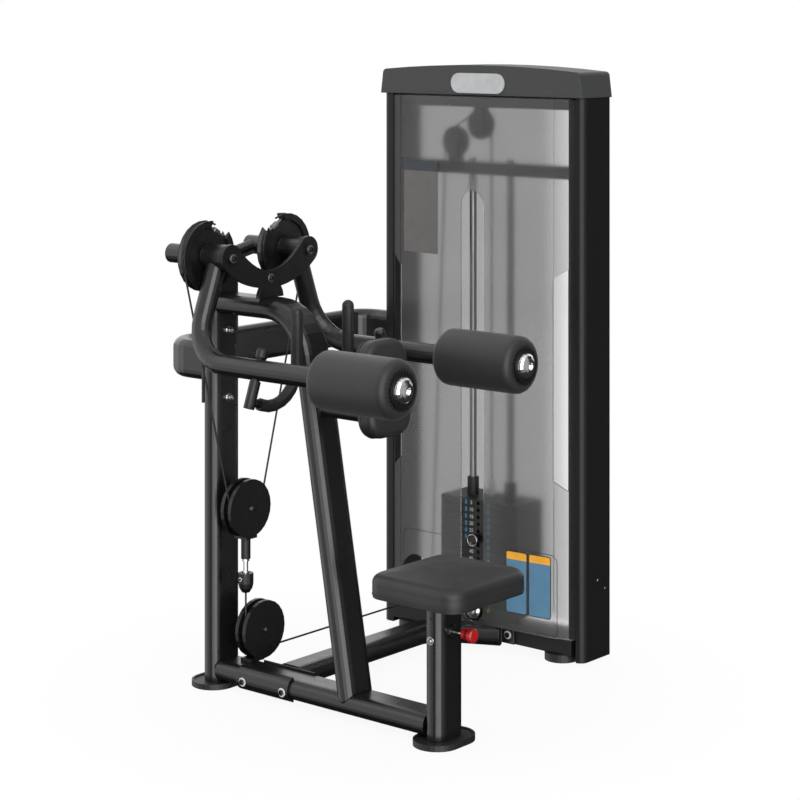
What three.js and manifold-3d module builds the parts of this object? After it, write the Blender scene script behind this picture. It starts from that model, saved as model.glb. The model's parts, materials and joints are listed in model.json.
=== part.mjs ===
// Lateral raise machine: a seated frame with two swinging arms, a cable run and a weight tower.
// Millimetres, +Z up. The plan is drawn from the rear upright, with +X towards the seat and +Y
// towards the tower, and the whole machine is then moved so that its origin is under its middle.

import * as THREE from "three";
import { mergeVertices } from "three/addons/utils/BufferGeometryUtils.js";
import Module from "manifold-3d";

const wasm = await Module();
wasm.setup();

// Driving dimensions
const GAP = 0.3;
const OVERRUN = 1;
const TUBE_WIDE = 100;
const TUBE_THIN = 50;
const ROUND_TUBE = 50;
const FOOT_THICK = 14;
const FOOT_WIDE = 114;
const FOOT_LONG = 166;
const FOOT_RIM = 6;
const FOOT_TRAY = 3;
const RAIL_TOP = 65;
const RAIL_LENGTH = 728;
const UPRIGHT_TOP = 1050;
const BEAM_DROP = 58;
const PIVOT_RISE = 51;
const PIVOT_SPREAD = 280;
const ARM_LEAN = 20;
const ARM_DROP = 260;
const ARM_BEND = 110;
const CAM_X = 86;
const CAM_RADIUS = 88;
const PULLEY_RADIUS = 73;
const ROLLER_DIAMETER = 140;
const ROLLER_START = 554;
const ROLLER_END = 790;
const HANDLE_X = 347;
const GRIP_SPREAD = 187;
const GRIP_DIAMETER = 30;
const SEAT_AHEAD = 13;
const SEAT_LENGTH = 268;
const SEAT_WIDTH = 290;
const SEAT_BOTTOM = 345;
const SEAT_THICK = 63;
const TOWER_LEFT = -45;
const TOWER_WIDTH = 681;
const TOWER_FRONT = 688;
const TOWER_DEPTH = 124;
const TOWER_TOP = 1480;
const BACK_BULGE = 28;
const CAP_HEIGHT = 82;
const STACK_SETBACK = 56;
const STACK_WIDTH = 258;
const STACK_DEPTH = 122;
const STACK_BOTTOM = 88;
const PLATE_PITCH = 18.8;
const PLATE_COUNT = 16;
const LIFTED_PLATES = 6;
const ROD_SPREAD = 129;
const CABLE = 5;

// Values that follow from the driving dimensions
const BEAM_TOP = UPRIGHT_TOP - BEAM_DROP;
const PIVOT_Z = UPRIGHT_TOP + PIVOT_RISE;
const SEAT_X = RAIL_LENGTH + SEAT_AHEAD;
const CAP_CREST = TOWER_TOP + CAP_HEIGHT;
const UPRIGHT_FACE = TUBE_THIN / 2;
const RAIL_Z = RAIL_TOP - TUBE_THIN / 2;
const BEAM_Z = BEAM_TOP - TUBE_THIN / 2;
const PIVOT_Y = PIVOT_SPREAD / 2;
const LEAN = THREE.MathUtils.degToRad(ARM_LEAN);
const ARM_Y = PIVOT_Y + ARM_DROP * Math.sin(LEAN);
const ARM_Z = PIVOT_Z - ARM_DROP * Math.cos(LEAN);
const TOWER_MID = TOWER_LEFT + TOWER_WIDTH / 2;
const TOWER_RIGHT = TOWER_LEFT + TOWER_WIDTH;
const TOWER_BACK = TOWER_FRONT + TOWER_DEPTH;
const STACK_Y = TOWER_FRONT + STACK_SETBACK;
const STACK_TOP = STACK_BOTTOM + PLATE_COUNT * PLATE_PITCH;
const BAND_DEPTH = 181;

// The machine stands with the middle of its outline on the origin
const X_MIN = -BAND_DEPTH - TUBE_THIN / 2;
const X_MAX = SEAT_X + SEAT_LENGTH / 2;
const Y_MIN = -ARM_Y - ROLLER_DIAMETER / 2;
const Y_MAX = TOWER_BACK + BACK_BULGE + 5;
const SHIFT_X = -(X_MIN + X_MAX) / 2;
const SHIFT_Y = -(Y_MIN + Y_MAX) / 2;

const X = new THREE.Vector3(1, 0, 0);
const Y = new THREE.Vector3(0, 1, 0);
const Z = new THREE.Vector3(0, 0, 1);

const finish = {
  frame: { color: 0x2b2b2d, roughness: 0.35, metalness: 0.5 },
  dark: { color: 0x151516, roughness: 0.45, metalness: 0.2 },
  foam: { color: 0x3a3a3b, roughness: 0.85, metalness: 0 },
  rubber: { color: 0x1a1a1a, roughness: 0.75, metalness: 0 },
  chrome: { color: 0xd8d8da, roughness: 0.12, metalness: 1 },
  steel: { color: 0x8d9093, roughness: 0.35, metalness: 1 },
  plates: { color: 0x232325, roughness: 0.5, metalness: 0.3 },
  cap: { color: 0x4a4a4c, roughness: 0.5, metalness: 0 },
  panel: { color: 0x8a8c8e, roughness: 0.5, metalness: 0 },
  badge: { color: 0xc4c6c8, roughness: 0.3, metalness: 0.8 },
  red: { color: 0xa01a1c, roughness: 0.4, metalness: 0 },
};

const machine = new THREE.Group();
const frame = new THREE.Group();
frame.position.set(SHIFT_X, SHIFT_Y, 0);
machine.add(frame);

function piece(name, geometry, look, parent = frame) {
  const mesh = new THREE.Mesh(geometry, new THREE.MeshStandardMaterial(finish[look]));
  mesh.name = name;
  parent.add(mesh);
  return mesh;
}

// Solids for cutting and joining
function solid(geometry) {
  const bare = geometry.clone();
  bare.deleteAttribute("normal");
  bare.deleteAttribute("uv");
  const merged = mergeVertices(bare, 1e-4);
  return new wasm.Manifold(new wasm.Mesh({
    numProp: 3,
    vertProperties: new Float32Array(merged.attributes.position.array),
    triVerts: new Uint32Array(merged.index.array),
  }));
}

function geometryOf(body) {
  const mesh = body.getMesh();
  const geometry = new THREE.BufferGeometry();
  geometry.setAttribute("position", new THREE.BufferAttribute(mesh.vertProperties, 3));
  geometry.setIndex(new THREE.BufferAttribute(mesh.triVerts, 1));
  geometry.computeVertexNormals();
  return geometry;
}

function join(...parts) {
  return geometryOf(parts.map(solid).reduce((whole, part) => whole.add(part)));
}

function cut(geometry, ...tools) {
  return geometryOf(tools.map(solid).reduce((whole, tool) => whole.subtract(tool), solid(geometry)));
}

// Outlines
function stadium(wide, thin) {
  const shape = new THREE.Shape();
  const radius = thin / 2;
  const reach = wide / 2 - radius;
  shape.absarc(reach, 0, radius, -Math.PI / 2, Math.PI / 2);
  shape.absarc(-reach, 0, radius, Math.PI / 2, 1.5 * Math.PI);
  return shape;
}

// The same outline with its long way along the section's second axis, for a tube that bends flat
function stadiumAcross(wide, thin) {
  const shape = new THREE.Shape();
  const radius = thin / 2;
  const reach = wide / 2 - radius;
  shape.absarc(0, reach, radius, 0, Math.PI);
  shape.absarc(0, -reach, radius, Math.PI, 2 * Math.PI);
  return shape;
}

function disc(radius) {
  return new THREE.Shape().absarc(0, 0, radius, 0, 2 * Math.PI);
}

function roundedBox(wide, tall, radius) {
  const a = wide / 2 - radius;
  const b = tall / 2 - radius;
  const shape = new THREE.Shape();
  shape.absarc(a, -b, radius, -Math.PI / 2, 0);
  shape.absarc(a, b, radius, 0, Math.PI / 2);
  shape.absarc(-a, b, radius, Math.PI / 2, Math.PI);
  shape.absarc(-a, -b, radius, Math.PI, 1.5 * Math.PI);
  return shape;
}

function polygon(points) {
  return new THREE.Shape(points.map(([x, y]) => new THREE.Vector2(x, y)));
}

// A tube's path: straight runs and bends, all in the plane that side is square to
class TubePath extends THREE.Curve {
  constructor(points, side) {
    super();
    this.points = points;
    this.side = side;
  }

  getPoint(t) {
    const last = this.points.length - 1;
    const index = Math.min(Math.floor(t * last + 1e-9), last - 1);
    return this.points[index].clone().lerp(this.points[index + 1], t * last - index);
  }

  getPointAt(u) {
    return this.getPoint(u);
  }

  computeFrenetFrames(segments) {
    const frames = { tangents: [], normals: [], binormals: [] };
    for (let i = 0; i <= segments; i++) {
      const before = this.points[Math.max(i - 1, 0)];
      const after = this.points[Math.min(i + 1, segments)];
      const here = this.points[i];
      const tangent = new THREE.Vector3();
      if (i > 0) tangent.add(here.clone().sub(before).normalize());
      if (i < segments) tangent.add(after.clone().sub(here).normalize());
      tangent.normalize();
      frames.tangents.push(tangent);
      frames.normals.push(this.side.clone());
      frames.binormals.push(tangent.clone().cross(this.side));
    }
    return frames;
  }
}

// The corners of a path, each rounded to its radius, as points for TubePath
function rounded(corners, radii, steps = 8) {
  const points = [corners[0].clone()];
  for (let i = 1; i < corners.length - 1; i++) {
    const back = corners[i - 1].clone().sub(corners[i]).normalize();
    const ahead = corners[i + 1].clone().sub(corners[i]).normalize();
    const half = back.angleTo(ahead) / 2;
    const reach = radii[i - 1] / Math.tan(half);
    const toCentre = back.clone().add(ahead).normalize();
    const centre = corners[i].clone().addScaledVector(toCentre, radii[i - 1] / Math.sin(half));
    const start = corners[i].clone().addScaledVector(back, reach).sub(centre);
    const axis = back.clone().cross(start).normalize();
    const sweep = Math.PI - 2 * half;
    for (let k = 0; k <= steps; k++) {
      points.push(start.clone().applyAxisAngle(axis, (sweep * k) / steps).add(centre));
    }
  }
  points.push(corners[corners.length - 1].clone());
  return points;
}

// A half circle of the section gets twice its segments, and a whole circle the same
function tube(section, points, side, segments = 5) {
  return new THREE.ExtrudeGeometry(section, {
    steps: points.length - 1,
    curveSegments: segments,
    extrudePath: new TubePath(points, side),
  });
}

function v(x, y, z) {
  return new THREE.Vector3(x, y, z);
}

function straight(section, from, to, side, segments = 6) {
  return tube(section, [from, to], side, segments);
}

function rod(radius, from, to, segments = 12) {
  const along = to.clone().sub(from).normalize();
  const side = Math.abs(along.x) > 0.9 ? Y : X;
  const square = side.clone().cross(along).normalize();
  return straight(disc(radius), from, to, square, segments / 2);
}

function box(x0, x1, y0, y1, z0, z1) {
  const geometry = new THREE.BoxGeometry(x1 - x0, y1 - y0, z1 - z0);
  geometry.translate((x0 + x1) / 2, (y0 + y1) / 2, (z0 + z1) / 2);
  return geometry;
}

// An outline drawn in plan (X, Y) and raised from z0 to z1
function raised(shape, z0, z1, segments = 6) {
  const geometry = new THREE.ExtrudeGeometry(shape, {
    depth: z1 - z0,
    bevelEnabled: false,
    curveSegments: segments,
  });
  geometry.translate(0, 0, z0);
  return geometry;
}

// An outline drawn on the front (X, Z) and given depth from y0 back to y1
function frontal(shape, y0, y1, segments = 6) {
  const geometry = raised(shape, 0, y1 - y0, segments);
  geometry.rotateX(Math.PI / 2);
  geometry.translate(0, y1, 0);
  return geometry;
}

// An outline drawn on the end (Y, Z) and given length from x0 to x1
function sideways(shape, x0, x1, segments = 6) {
  const geometry = raised(shape, x0, x1, segments);
  geometry.applyMatrix4(new THREE.Matrix4().makeBasis(Y, Z, X));
  return geometry;
}

// A profile of radius and height, turned about its axis; either order of its points will do
function turned(profile, segments = 32) {
  const points = profile.map(([r, h]) => new THREE.Vector2(r, h));
  if (THREE.ShapeUtils.area(points) < 0) points.reverse();
  return new THREE.LatheGeometry(points, segments);
}

// A turned shape whose axis lies along X, starting at x0
function turnedAlongX(profile, x, y, z, segments = 32) {
  const geometry = turned(profile, segments);
  geometry.rotateZ(-Math.PI / 2);
  geometry.translate(x, y, z);
  return geometry;
}

// Chest pad: its sizes, which the strut and its backing plate follow
const CHEST_X = 520;
const CHEST_THICK = 50;
const CHEST_DROP = 364;
const CHEST_LOW = UPRIGHT_TOP - CHEST_DROP;
const CHEST_TALL = 232;
const CHEST_WIDE = 154;
const CHEST_CORNER = 50;
const CHEST_EDGE = 18;
const CHEST_CROWN = 5;
const CHEST_TILT = THREE.MathUtils.degToRad(-5);

// Feet and frame tubes
function foot(x, y) {
  const plate = raised(stadium(FOOT_LONG, FOOT_WIDE), 0, FOOT_THICK, 8);
  const rimmed = stadium(FOOT_LONG - 2 * FOOT_RIM, FOOT_WIDE - 2 * FOOT_RIM);
  const tray = raised(rimmed, FOOT_THICK - FOOT_TRAY, FOOT_THICK + OVERRUN, 8);
  const geometry = cut(plate, tray);
  geometry.rotateZ(Math.PI / 2);
  geometry.translate(x, y, 0);
  return geometry;
}

const FOOT_FLOOR = FOOT_THICK - FOOT_TRAY + GAP;
const upright = stadium(TUBE_WIDE, TUBE_THIN);

function addFrame() {
  piece("rear_foot", foot(0, 0), "rubber");
  piece("front_foot", foot(RAIL_LENGTH, 0), "rubber");
  piece("rear_upright", straight(upright, v(0, 0, FOOT_FLOOR), v(0, 0, UPRIGHT_TOP), Y), "frame");
  const railStart = UPRIGHT_FACE + GAP;
  const railEnd = RAIL_LENGTH - UPRIGHT_FACE - GAP;
  piece("base_rail", straight(upright, v(railStart, 0, RAIL_Z), v(railEnd, 0, RAIL_Z), Y), "frame");
  piece("seat_post", seatPost(), "frame");
  piece("main_post", mainPost(railStart), "frame");
}

// One bent tube: it stands on the rail, leans back and turns over to meet the rear upright
const POST_FOOT_BACK = 274.4;
const POST_FOOT_SINK = 19;
const POST_LEAN = 0.1738;
const POST_BEND = 125;
const STRUT_RISE = 55;
const BACKING_THICK = 6;
const BACKING_INSET = 25;
const BACKING_CORNER = 30;

function mainPost(start) {
  const footX = RAIL_LENGTH - POST_FOOT_BACK;
  const footZ = RAIL_TOP - POST_FOOT_SINK;
  const leanAt = (z) => footX - POST_LEAN * (z - footZ);
  const corners = [v(footX, 0, footZ), v(leanAt(BEAM_Z), 0, BEAM_Z), v(start, 0, BEAM_Z)];
  const bent = tube(upright, rounded(corners, [POST_BEND], 8), Y, 4);
  const clear = stadium(TUBE_WIDE + 2 * GAP, TUBE_THIN + 2 * GAP);
  const strutZ = CHEST_LOW + STRUT_RISE;
  const backingMid = CHEST_LOW + CHEST_TALL / 2;
  const strutEnd = v(-GAP - BACKING_THICK / 2, 0, strutZ - backingMid).applyAxisAngle(Y, CHEST_TILT);
  strutEnd.add(v(CHEST_X, 0, backingMid));
  const strut = rod(ROUND_TUBE / 2, v(leanAt(strutZ), 0, strutZ), v(strutEnd.x, 0, strutZ), 16);
  const outline = roundedBox(CHEST_WIDE - 2 * BACKING_INSET, CHEST_TALL - 2 * BACKING_INSET, BACKING_CORNER);
  const backing = sideways(outline, -BACKING_THICK - GAP, -GAP, 3);
  backing.rotateY(CHEST_TILT).translate(CHEST_X, 0, backingMid);
  const whole = join(bent, strut, backing);
  return cut(whole, straight(clear, v(0, 0, RAIL_Z), v(RAIL_LENGTH, 0, RAIL_Z), Y));
}

// Plates that hug the rail's round sides and clamp the cross tube to it
const SIDE_PLATE = 6;
const SIDE_LIP = 20;
const NEAR_PLATE = [105, 278];
const FAR_PLATE = [120, 292];

function sidePlate([x0, x1], sideSign) {
  const thick = SIDE_PLATE;
  const outer = straight(stadium(TUBE_WIDE + 2 * (GAP + thick), TUBE_THIN + 2 * (GAP + thick)),
    v(x0, 0, RAIL_Z), v(x1, 0, RAIL_Z), Y);
  const inner = straight(stadium(TUBE_WIDE + 2 * GAP, TUBE_THIN + 2 * GAP),
    v(x0 - OVERRUN, 0, RAIL_Z), v(x1 + OVERRUN, 0, RAIL_Z), Y);
  const far = TUBE_WIDE;
  const lip = TUBE_WIDE / 2 - SIDE_LIP;
  const [nearY, farY] = sideSign > 0 ? [-far, lip] : [-lip, far];
  const away = box(x0 - OVERRUN, x1 + OVERRUN, nearY, farY, -far, far);
  return cut(outer, inner, away);
}

// The tube that ties the rail to the tower: straight across, then a bend towards the seat's side
const CROSS_X = 190;
const CROSS_WIDE = 90;
const CROSS_SHORT = 88;
const CROSS_END_X = 372;
const CROSS_BEND = 110;
const CROSS_LUG = 45;
const LUG_TALL = 38;

function addBase() {
  piece("near_side_plate", sidePlate(NEAR_PLATE, -1), "frame");
  piece("far_side_plate", sidePlate(FAR_PLATE, 1), "frame");
  const start = TUBE_WIDE / 2 + SIDE_PLATE + 2 * GAP;
  const end = TOWER_FRONT - GAP;
  const corners = [
    v(CROSS_X, start, RAIL_Z),
    v(CROSS_X, TOWER_FRONT - CROSS_SHORT, RAIL_Z),
    v(CROSS_END_X, end + OVERRUN, RAIL_Z),
  ];
  const bent = tube(stadiumAcross(CROSS_WIDE, TUBE_THIN), rounded(corners, [CROSS_BEND], 7), Z);
  const plate = box(CROSS_END_X - CROSS_LUG, CROSS_END_X + CROSS_LUG, end - SIDE_PLATE, end,
    RAIL_Z - LUG_TALL / 2, RAIL_Z + LUG_TALL / 2);
  const beyond = box(0, CROSS_END_X + CROSS_WIDE * 2, end, end + CROSS_WIDE, 0, RAIL_TOP + OVERRUN);
  piece("cross_tube", cut(join(bent, plate), beyond), "frame");
}

// Flat-oval tube that runs from the rear upright round to the side of the tower
const BAND_DROP = 238;
const BAND_BEND = 70;
const BAND_PLATE = 6;
const BAND_PLATE_WIDE = 80;
const TOWER_PLATE_TALL = 150;

function addBand() {
  const height = UPRIGHT_TOP - BAND_DROP;
  const reach = TOWER_FRONT + TOWER_DEPTH / 2;
  const start = -UPRIGHT_FACE - GAP;
  const end = TOWER_LEFT - GAP;
  const corners = [
    v(start, 0, height),
    v(-BAND_DEPTH, 0, height),
    v(-BAND_DEPTH, reach, height),
    v(end, reach, height),
  ];
  const band = tube(upright, rounded(corners, [BAND_BEND, BAND_BEND], 6), Z, 4);
  const halfTall = TUBE_WIDE;
  const halfWide = BAND_PLATE_WIDE / 2;
  const innerPlate = box(start - BAND_PLATE, start, -halfWide, halfWide,
    height - halfTall, height + halfTall);
  const towerPlate = box(end - BAND_PLATE, end, reach - halfWide, reach + halfWide,
    height - TOWER_PLATE_TALL / 2, height + TOWER_PLATE_TALL / 2);
  piece("rear_band", join(band, innerPlate, towerPlate), "frame");
}

// Pivots: two housings on V tubes behind, a V plate in front, and an axle through each pair
const V_FRONT = 174;
const V_THICK = 10;
const AXLE_RADIUS = 10;
const HOUSING_START = -36;
const HOUSING_END = 70;
const HOUSING_RADIUS = 24.5;
const V_TUBE_RADIUS = 19;
const SADDLE_THICK = 7.7;
const AXLE_HEAD_RADIUS = 15;
const AXLE_HEAD = 5;

function addPivots() {
  const saddleTop = UPRIGHT_TOP + GAP + SADDLE_THICK;
  const overhang = SADDLE_THICK / 2;
  const saddle = box(-TUBE_THIN / 2 - overhang, TUBE_THIN / 2 + overhang,
    -TUBE_WIDE / 2 - overhang, TUBE_WIDE / 2 + overhang, UPRIGHT_TOP + GAP, saddleTop);
  const root = v(-V_TUBE_RADIUS / 2, 0, saddleTop + V_TUBE_RADIUS - SADDLE_THICK / 2);
  const parts = [saddle];
  for (const side of [-1, 1]) {
    const tip = v(HOUSING_START + HOUSING_RADIUS, side * PIVOT_Y, PIVOT_Z);
    parts.push(rod(V_TUBE_RADIUS, root, tip, 14));
    const housingStart = v(HOUSING_START, side * PIVOT_Y, PIVOT_Z);
    parts.push(rod(HOUSING_RADIUS, housingStart, v(HOUSING_END, side * PIVOT_Y, PIVOT_Z), 18));
  }
  piece("rear_pivot_bracket", join(...parts), "frame");
  piece("front_pivot_plate", vPlate(), "dark");
  for (const [name, side] of [["left", -1], ["right", 1]]) {
    const profile = [[0, HOUSING_END + GAP], [AXLE_RADIUS, HOUSING_END + GAP], [AXLE_RADIUS, V_FRONT + GAP],
      [AXLE_HEAD_RADIUS, V_FRONT + GAP], [AXLE_HEAD_RADIUS, V_FRONT + AXLE_HEAD], [0, V_FRONT + AXLE_HEAD]];
    piece(`${name}_axle`, turnedAlongX(profile, 0, side * PIVOT_Y, PIVOT_Z, 18), "steel");
  }
}

// The V plate's outline: a foot on the beam, a neck, a wing to each boss and a dip between them
const V_BOSS = 34;
const V_BOSS_LOW = -50;
const V_BOSS_HIGH = 125;
const V_FOOT = 45;
const V_NECK = 36;
const V_NECK_TALL = 26;
const V_WING_RISE = 12;
const V_WING_SHARE = 0.6;
const V_DIP = 41;

function vPlate() {
  const shape = new THREE.Shape();
  const low = THREE.MathUtils.degToRad(V_BOSS_LOW);
  const high = THREE.MathUtils.degToRad(V_BOSS_HIGH);
  const foot = BEAM_TOP + GAP;
  const neckZ = foot + V_NECK_TALL;
  const bossY = PIVOT_Y + V_BOSS * Math.cos(low);
  const bossZ = PIVOT_Z + V_BOSS * Math.sin(low);
  const shoulderY = PIVOT_Y + V_BOSS * Math.cos(high);
  const shoulderZ = PIVOT_Z + V_BOSS * Math.sin(high);
  const wideY = V_NECK + V_WING_SHARE * (bossY - V_NECK);
  const dipZ = PIVOT_Z - V_DIP;
  shape.moveTo(-V_FOOT, foot);
  shape.lineTo(V_FOOT, foot);
  shape.quadraticCurveTo(V_FOOT, foot + V_NECK_TALL / 2, V_NECK, neckZ);
  shape.quadraticCurveTo(wideY, neckZ + V_WING_RISE, bossY, bossZ);
  shape.absarc(PIVOT_Y, PIVOT_Z, V_BOSS, low, high);
  shape.quadraticCurveTo(shoulderY / 2, dipZ, 0, dipZ);
  shape.quadraticCurveTo(-shoulderY / 2, dipZ, -shoulderY, shoulderZ);
  shape.absarc(-PIVOT_Y, PIVOT_Z, V_BOSS, Math.PI - high, Math.PI - low);
  shape.quadraticCurveTo(-wideY, neckZ + V_WING_RISE, -V_NECK, neckZ);
  shape.quadraticCurveTo(-V_FOOT, foot + V_NECK_TALL / 2, -V_FOOT, foot);
  const plate = sideways(shape, V_FRONT - V_THICK, V_FRONT, 7);
  const holes = [-1, 1].map((side) => {
    const holeStart = v(V_FRONT - V_THICK - OVERRUN, side * PIVOT_Y, PIVOT_Z);
    return rod(AXLE_RADIUS + GAP, holeStart, v(V_FRONT + OVERRUN, side * PIVOT_Y, PIVOT_Z), 14);
  });
  return cut(plate, ...holes);
}

// Grooved wheel about its own X axis, for the cams and pulleys
const WHEEL_RIM = 2.5;
const GROOVE_HALF = 3;

function wheel(radius, floor, half, bore, segments) {
  const rim = half - WHEEL_RIM;
  const profile = [[bore, -half], [radius, -half], [radius, -rim], [floor, -GROOVE_HALF],
    [floor, GROOVE_HALF], [radius, rim], [radius, half], [bore, half], [bore, -half]];
  return turnedAlongX(profile, 0, 0, 0, segments);
}

const CAM_PITCH = CAM_RADIUS - 6;
const CAM_FLOOR = CAM_PITCH - 3;
const CAM_HALF = 12;
const NOTCH_ANGLE = 60;
const HUB_RADIUS = 32;
const HUB_CLEARANCE = 0.5;
const HUB_BORE = AXLE_RADIUS + HUB_CLEARANCE;
const CAM_WEB = 6;
const CAM_HUB = 26;
const CAM_RING = 17;
const CAM_DRAFT = 2.5;
const NOTCH_HALF = 31;
const NOTCH_DEPTH = 24;
const ANCHOR_RADIUS = 4;
const ANCHOR_NUT = 7;
const ANCHOR_NUT_HALF = 8;

function camGeometry(side) {
  const ring = CAM_RADIUS - CAM_RING;
  const notchTurn = side * (THREE.MathUtils.degToRad(90 - NOTCH_ANGLE) - LEAN);
  const half = [
    [HUB_BORE, CAM_HALF],
    [CAM_HUB, CAM_HALF],
    [CAM_HUB + CAM_DRAFT, CAM_WEB],
    [ring - CAM_DRAFT, CAM_WEB],
    [ring, CAM_HALF],
    [CAM_RADIUS, CAM_HALF],
    [CAM_RADIUS, CAM_HALF - GROOVE_HALF],
    [CAM_FLOOR, GROOVE_HALF],
  ];
  const mirrored = half.map(([radius, x]) => [radius, -x]).reverse();
  const floor = CAM_RADIUS - NOTCH_DEPTH;
  const notch = box(-CAM_HALF - OVERRUN, CAM_HALF + OVERRUN, -NOTCH_HALF, NOTCH_HALF,
    floor, CAM_RADIUS + OVERRUN);
  const disc = turnedAlongX([...half, ...mirrored, half[0]], 0, 0, 0, 24);
  const rise = floor + ANCHOR_RADIUS - OVERRUN;
  const reach = NOTCH_HALF + OVERRUN;
  const anchor = join(
    rod(ANCHOR_RADIUS, v(0, -reach, rise), v(0, reach, rise), 8),
    rod(ANCHOR_NUT, v(0, -ANCHOR_NUT_HALF, rise), v(0, ANCHOR_NUT_HALF, rise), 6),
  );
  notch.rotateX(notchTurn);
  anchor.rotateX(notchTurn);
  const geometry = join(cut(disc, notch), anchor);
  geometry.translate(CAM_X, 0, 0);
  return geometry;
}

// Arms: each is drawn hanging straight down from its pivot and then leant outwards
const ARM_X = 127;
const HUB_HALF = 31;
const HUB_MID = 131;
const HANDLE_LOW = 335;
const PIN_RADIUS = 10;
const PIN_CLEARANCE = 0.7;
const KNOB_RADIUS = 14.5;
const KNOB_NECK = 12;
const KNOB_LOW = 30;
const KNOB_SHOULDER = 46;
const KNOB_TOP = 52;
const SLEEVE_RADIUS = 13.5;
const SLEEVE_TOP = 27;
const SLEEVE_LOW = 88;
const PIN_HEAD = 4.7;

function addArm(name, side) {
  const arm = new THREE.Group();
  arm.position.set(0, side * PIVOT_Y, PIVOT_Z);
  arm.rotation.x = side * LEAN;
  frame.add(arm);

  const hubProfile = [[HUB_BORE, -HUB_HALF], [HUB_RADIUS, -HUB_HALF], [HUB_RADIUS, HUB_HALF],
    [HUB_BORE, HUB_HALF], [HUB_BORE, -HUB_HALF]];
  const hub = turnedAlongX(hubProfile, HUB_MID, 0, 0, 20);
  const start = v(ARM_X, 0, -(HUB_RADIUS + HUB_BORE) / 2);
  const corners = [start, v(ARM_X, 0, -ARM_DROP), v(ROLLER_END + OVERRUN, 0, -ARM_DROP)];
  const bent = tube(disc(ROUND_TUBE / 2), rounded(corners, [ARM_BEND], 8), Y, 9);
  const pinHole = rod(PIN_RADIUS + PIN_CLEARANCE, v(HANDLE_X, 0, -ARM_DROP - ROUND_TUBE),
    v(HANDLE_X, 0, -ARM_DROP + ROUND_TUBE), 14);
  piece(`${name}_arm`, cut(join(hub, bent), pinHole), "frame", arm);
  piece(`${name}_cam`, camGeometry(side), "dark", arm);

  const seat = ROUND_TUBE / 2 + GAP;
  const low = -SLEEVE_LOW - GAP;
  const pinProfile = [
    [0, KNOB_TOP],
    [PIN_RADIUS + GAP, KNOB_TOP],
    [KNOB_RADIUS, KNOB_SHOULDER],
    [KNOB_RADIUS, KNOB_LOW],
    [KNOB_NECK, seat],
    [PIN_RADIUS, seat],
    [PIN_RADIUS, low],
    [SLEEVE_RADIUS, low],
    [SLEEVE_RADIUS, low - PIN_HEAD],
    [0, low - PIN_HEAD],
  ];
  const pin = turned(pinProfile, 14);
  pin.rotateX(Math.PI / 2);
  pin.translate(HANDLE_X, 0, -ARM_DROP);
  piece(`${name}_handle_pin`, pin, "dark", arm);
  addHandle(name, side, arm);

  piece(`${name}_roller`, turnedAlongX(rollerProfile(), ROLLER_START, 0, -ARM_DROP, 24), "foam", arm);
  const capX = ROLLER_END + OVERRUN + GAP;
  piece(`${name}_end_cap`, turnedAlongX(endCapProfile(), capX, 0, -ARM_DROP, 18), "chrome", arm);
}

// A washer under a domed screw with a socket in its middle
const WASHER_RADIUS = 43;
const WASHER_THICK = 5;
const DOME_RADIUS = 31;
const DOME_TALL = 14;
const SOCKET_RADIUS = 9;
const SOCKET_DEPTH = 6;

function endCapProfile() {
  const top = WASHER_THICK + DOME_TALL;
  const profile = [[0, 0], [WASHER_RADIUS, 0], [WASHER_RADIUS, WASHER_THICK]];
  for (let k = 0; k <= 4; k++) {
    const turn = (k / 4) * Math.acos(SOCKET_RADIUS / DOME_RADIUS);
    const sink = DOME_TALL / Math.sin(Math.acos(SOCKET_RADIUS / DOME_RADIUS));
    profile.push([DOME_RADIUS * Math.cos(turn), WASHER_THICK + sink * Math.sin(turn)]);
  }
  profile.push([SOCKET_RADIUS, top - SOCKET_DEPTH], [0, top - SOCKET_DEPTH]);
  return profile;
}

const ROLLER_EDGE = 20;

function rollerProfile() {
  const outer = ROLLER_DIAMETER / 2;
  const bore = ROUND_TUBE / 2 + GAP;
  const edge = ROLLER_EDGE;
  const long = ROLLER_END - ROLLER_START;
  const profile = [[bore, 0]];
  for (let k = 0; k <= 3; k++) {
    const turn = (k / 3) * (Math.PI / 2);
    profile.push([outer - edge + edge * Math.sin(turn), edge - edge * Math.cos(turn)]);
  }
  for (let k = 0; k <= 3; k++) {
    const turn = (k / 3) * (Math.PI / 2);
    profile.push([outer - edge + edge * Math.cos(turn), long - edge + edge * Math.sin(turn)]);
  }
  profile.push([bore, long], [bore, 0]);
  return profile;
}

// The swivel handle: a sleeve on the pin and a bar that dips under the arm and rises inside it
const GRIP_TOP_DROP = 109;
const GRIP_BEND = 90;
const STUB_RADIUS = 10;

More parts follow.
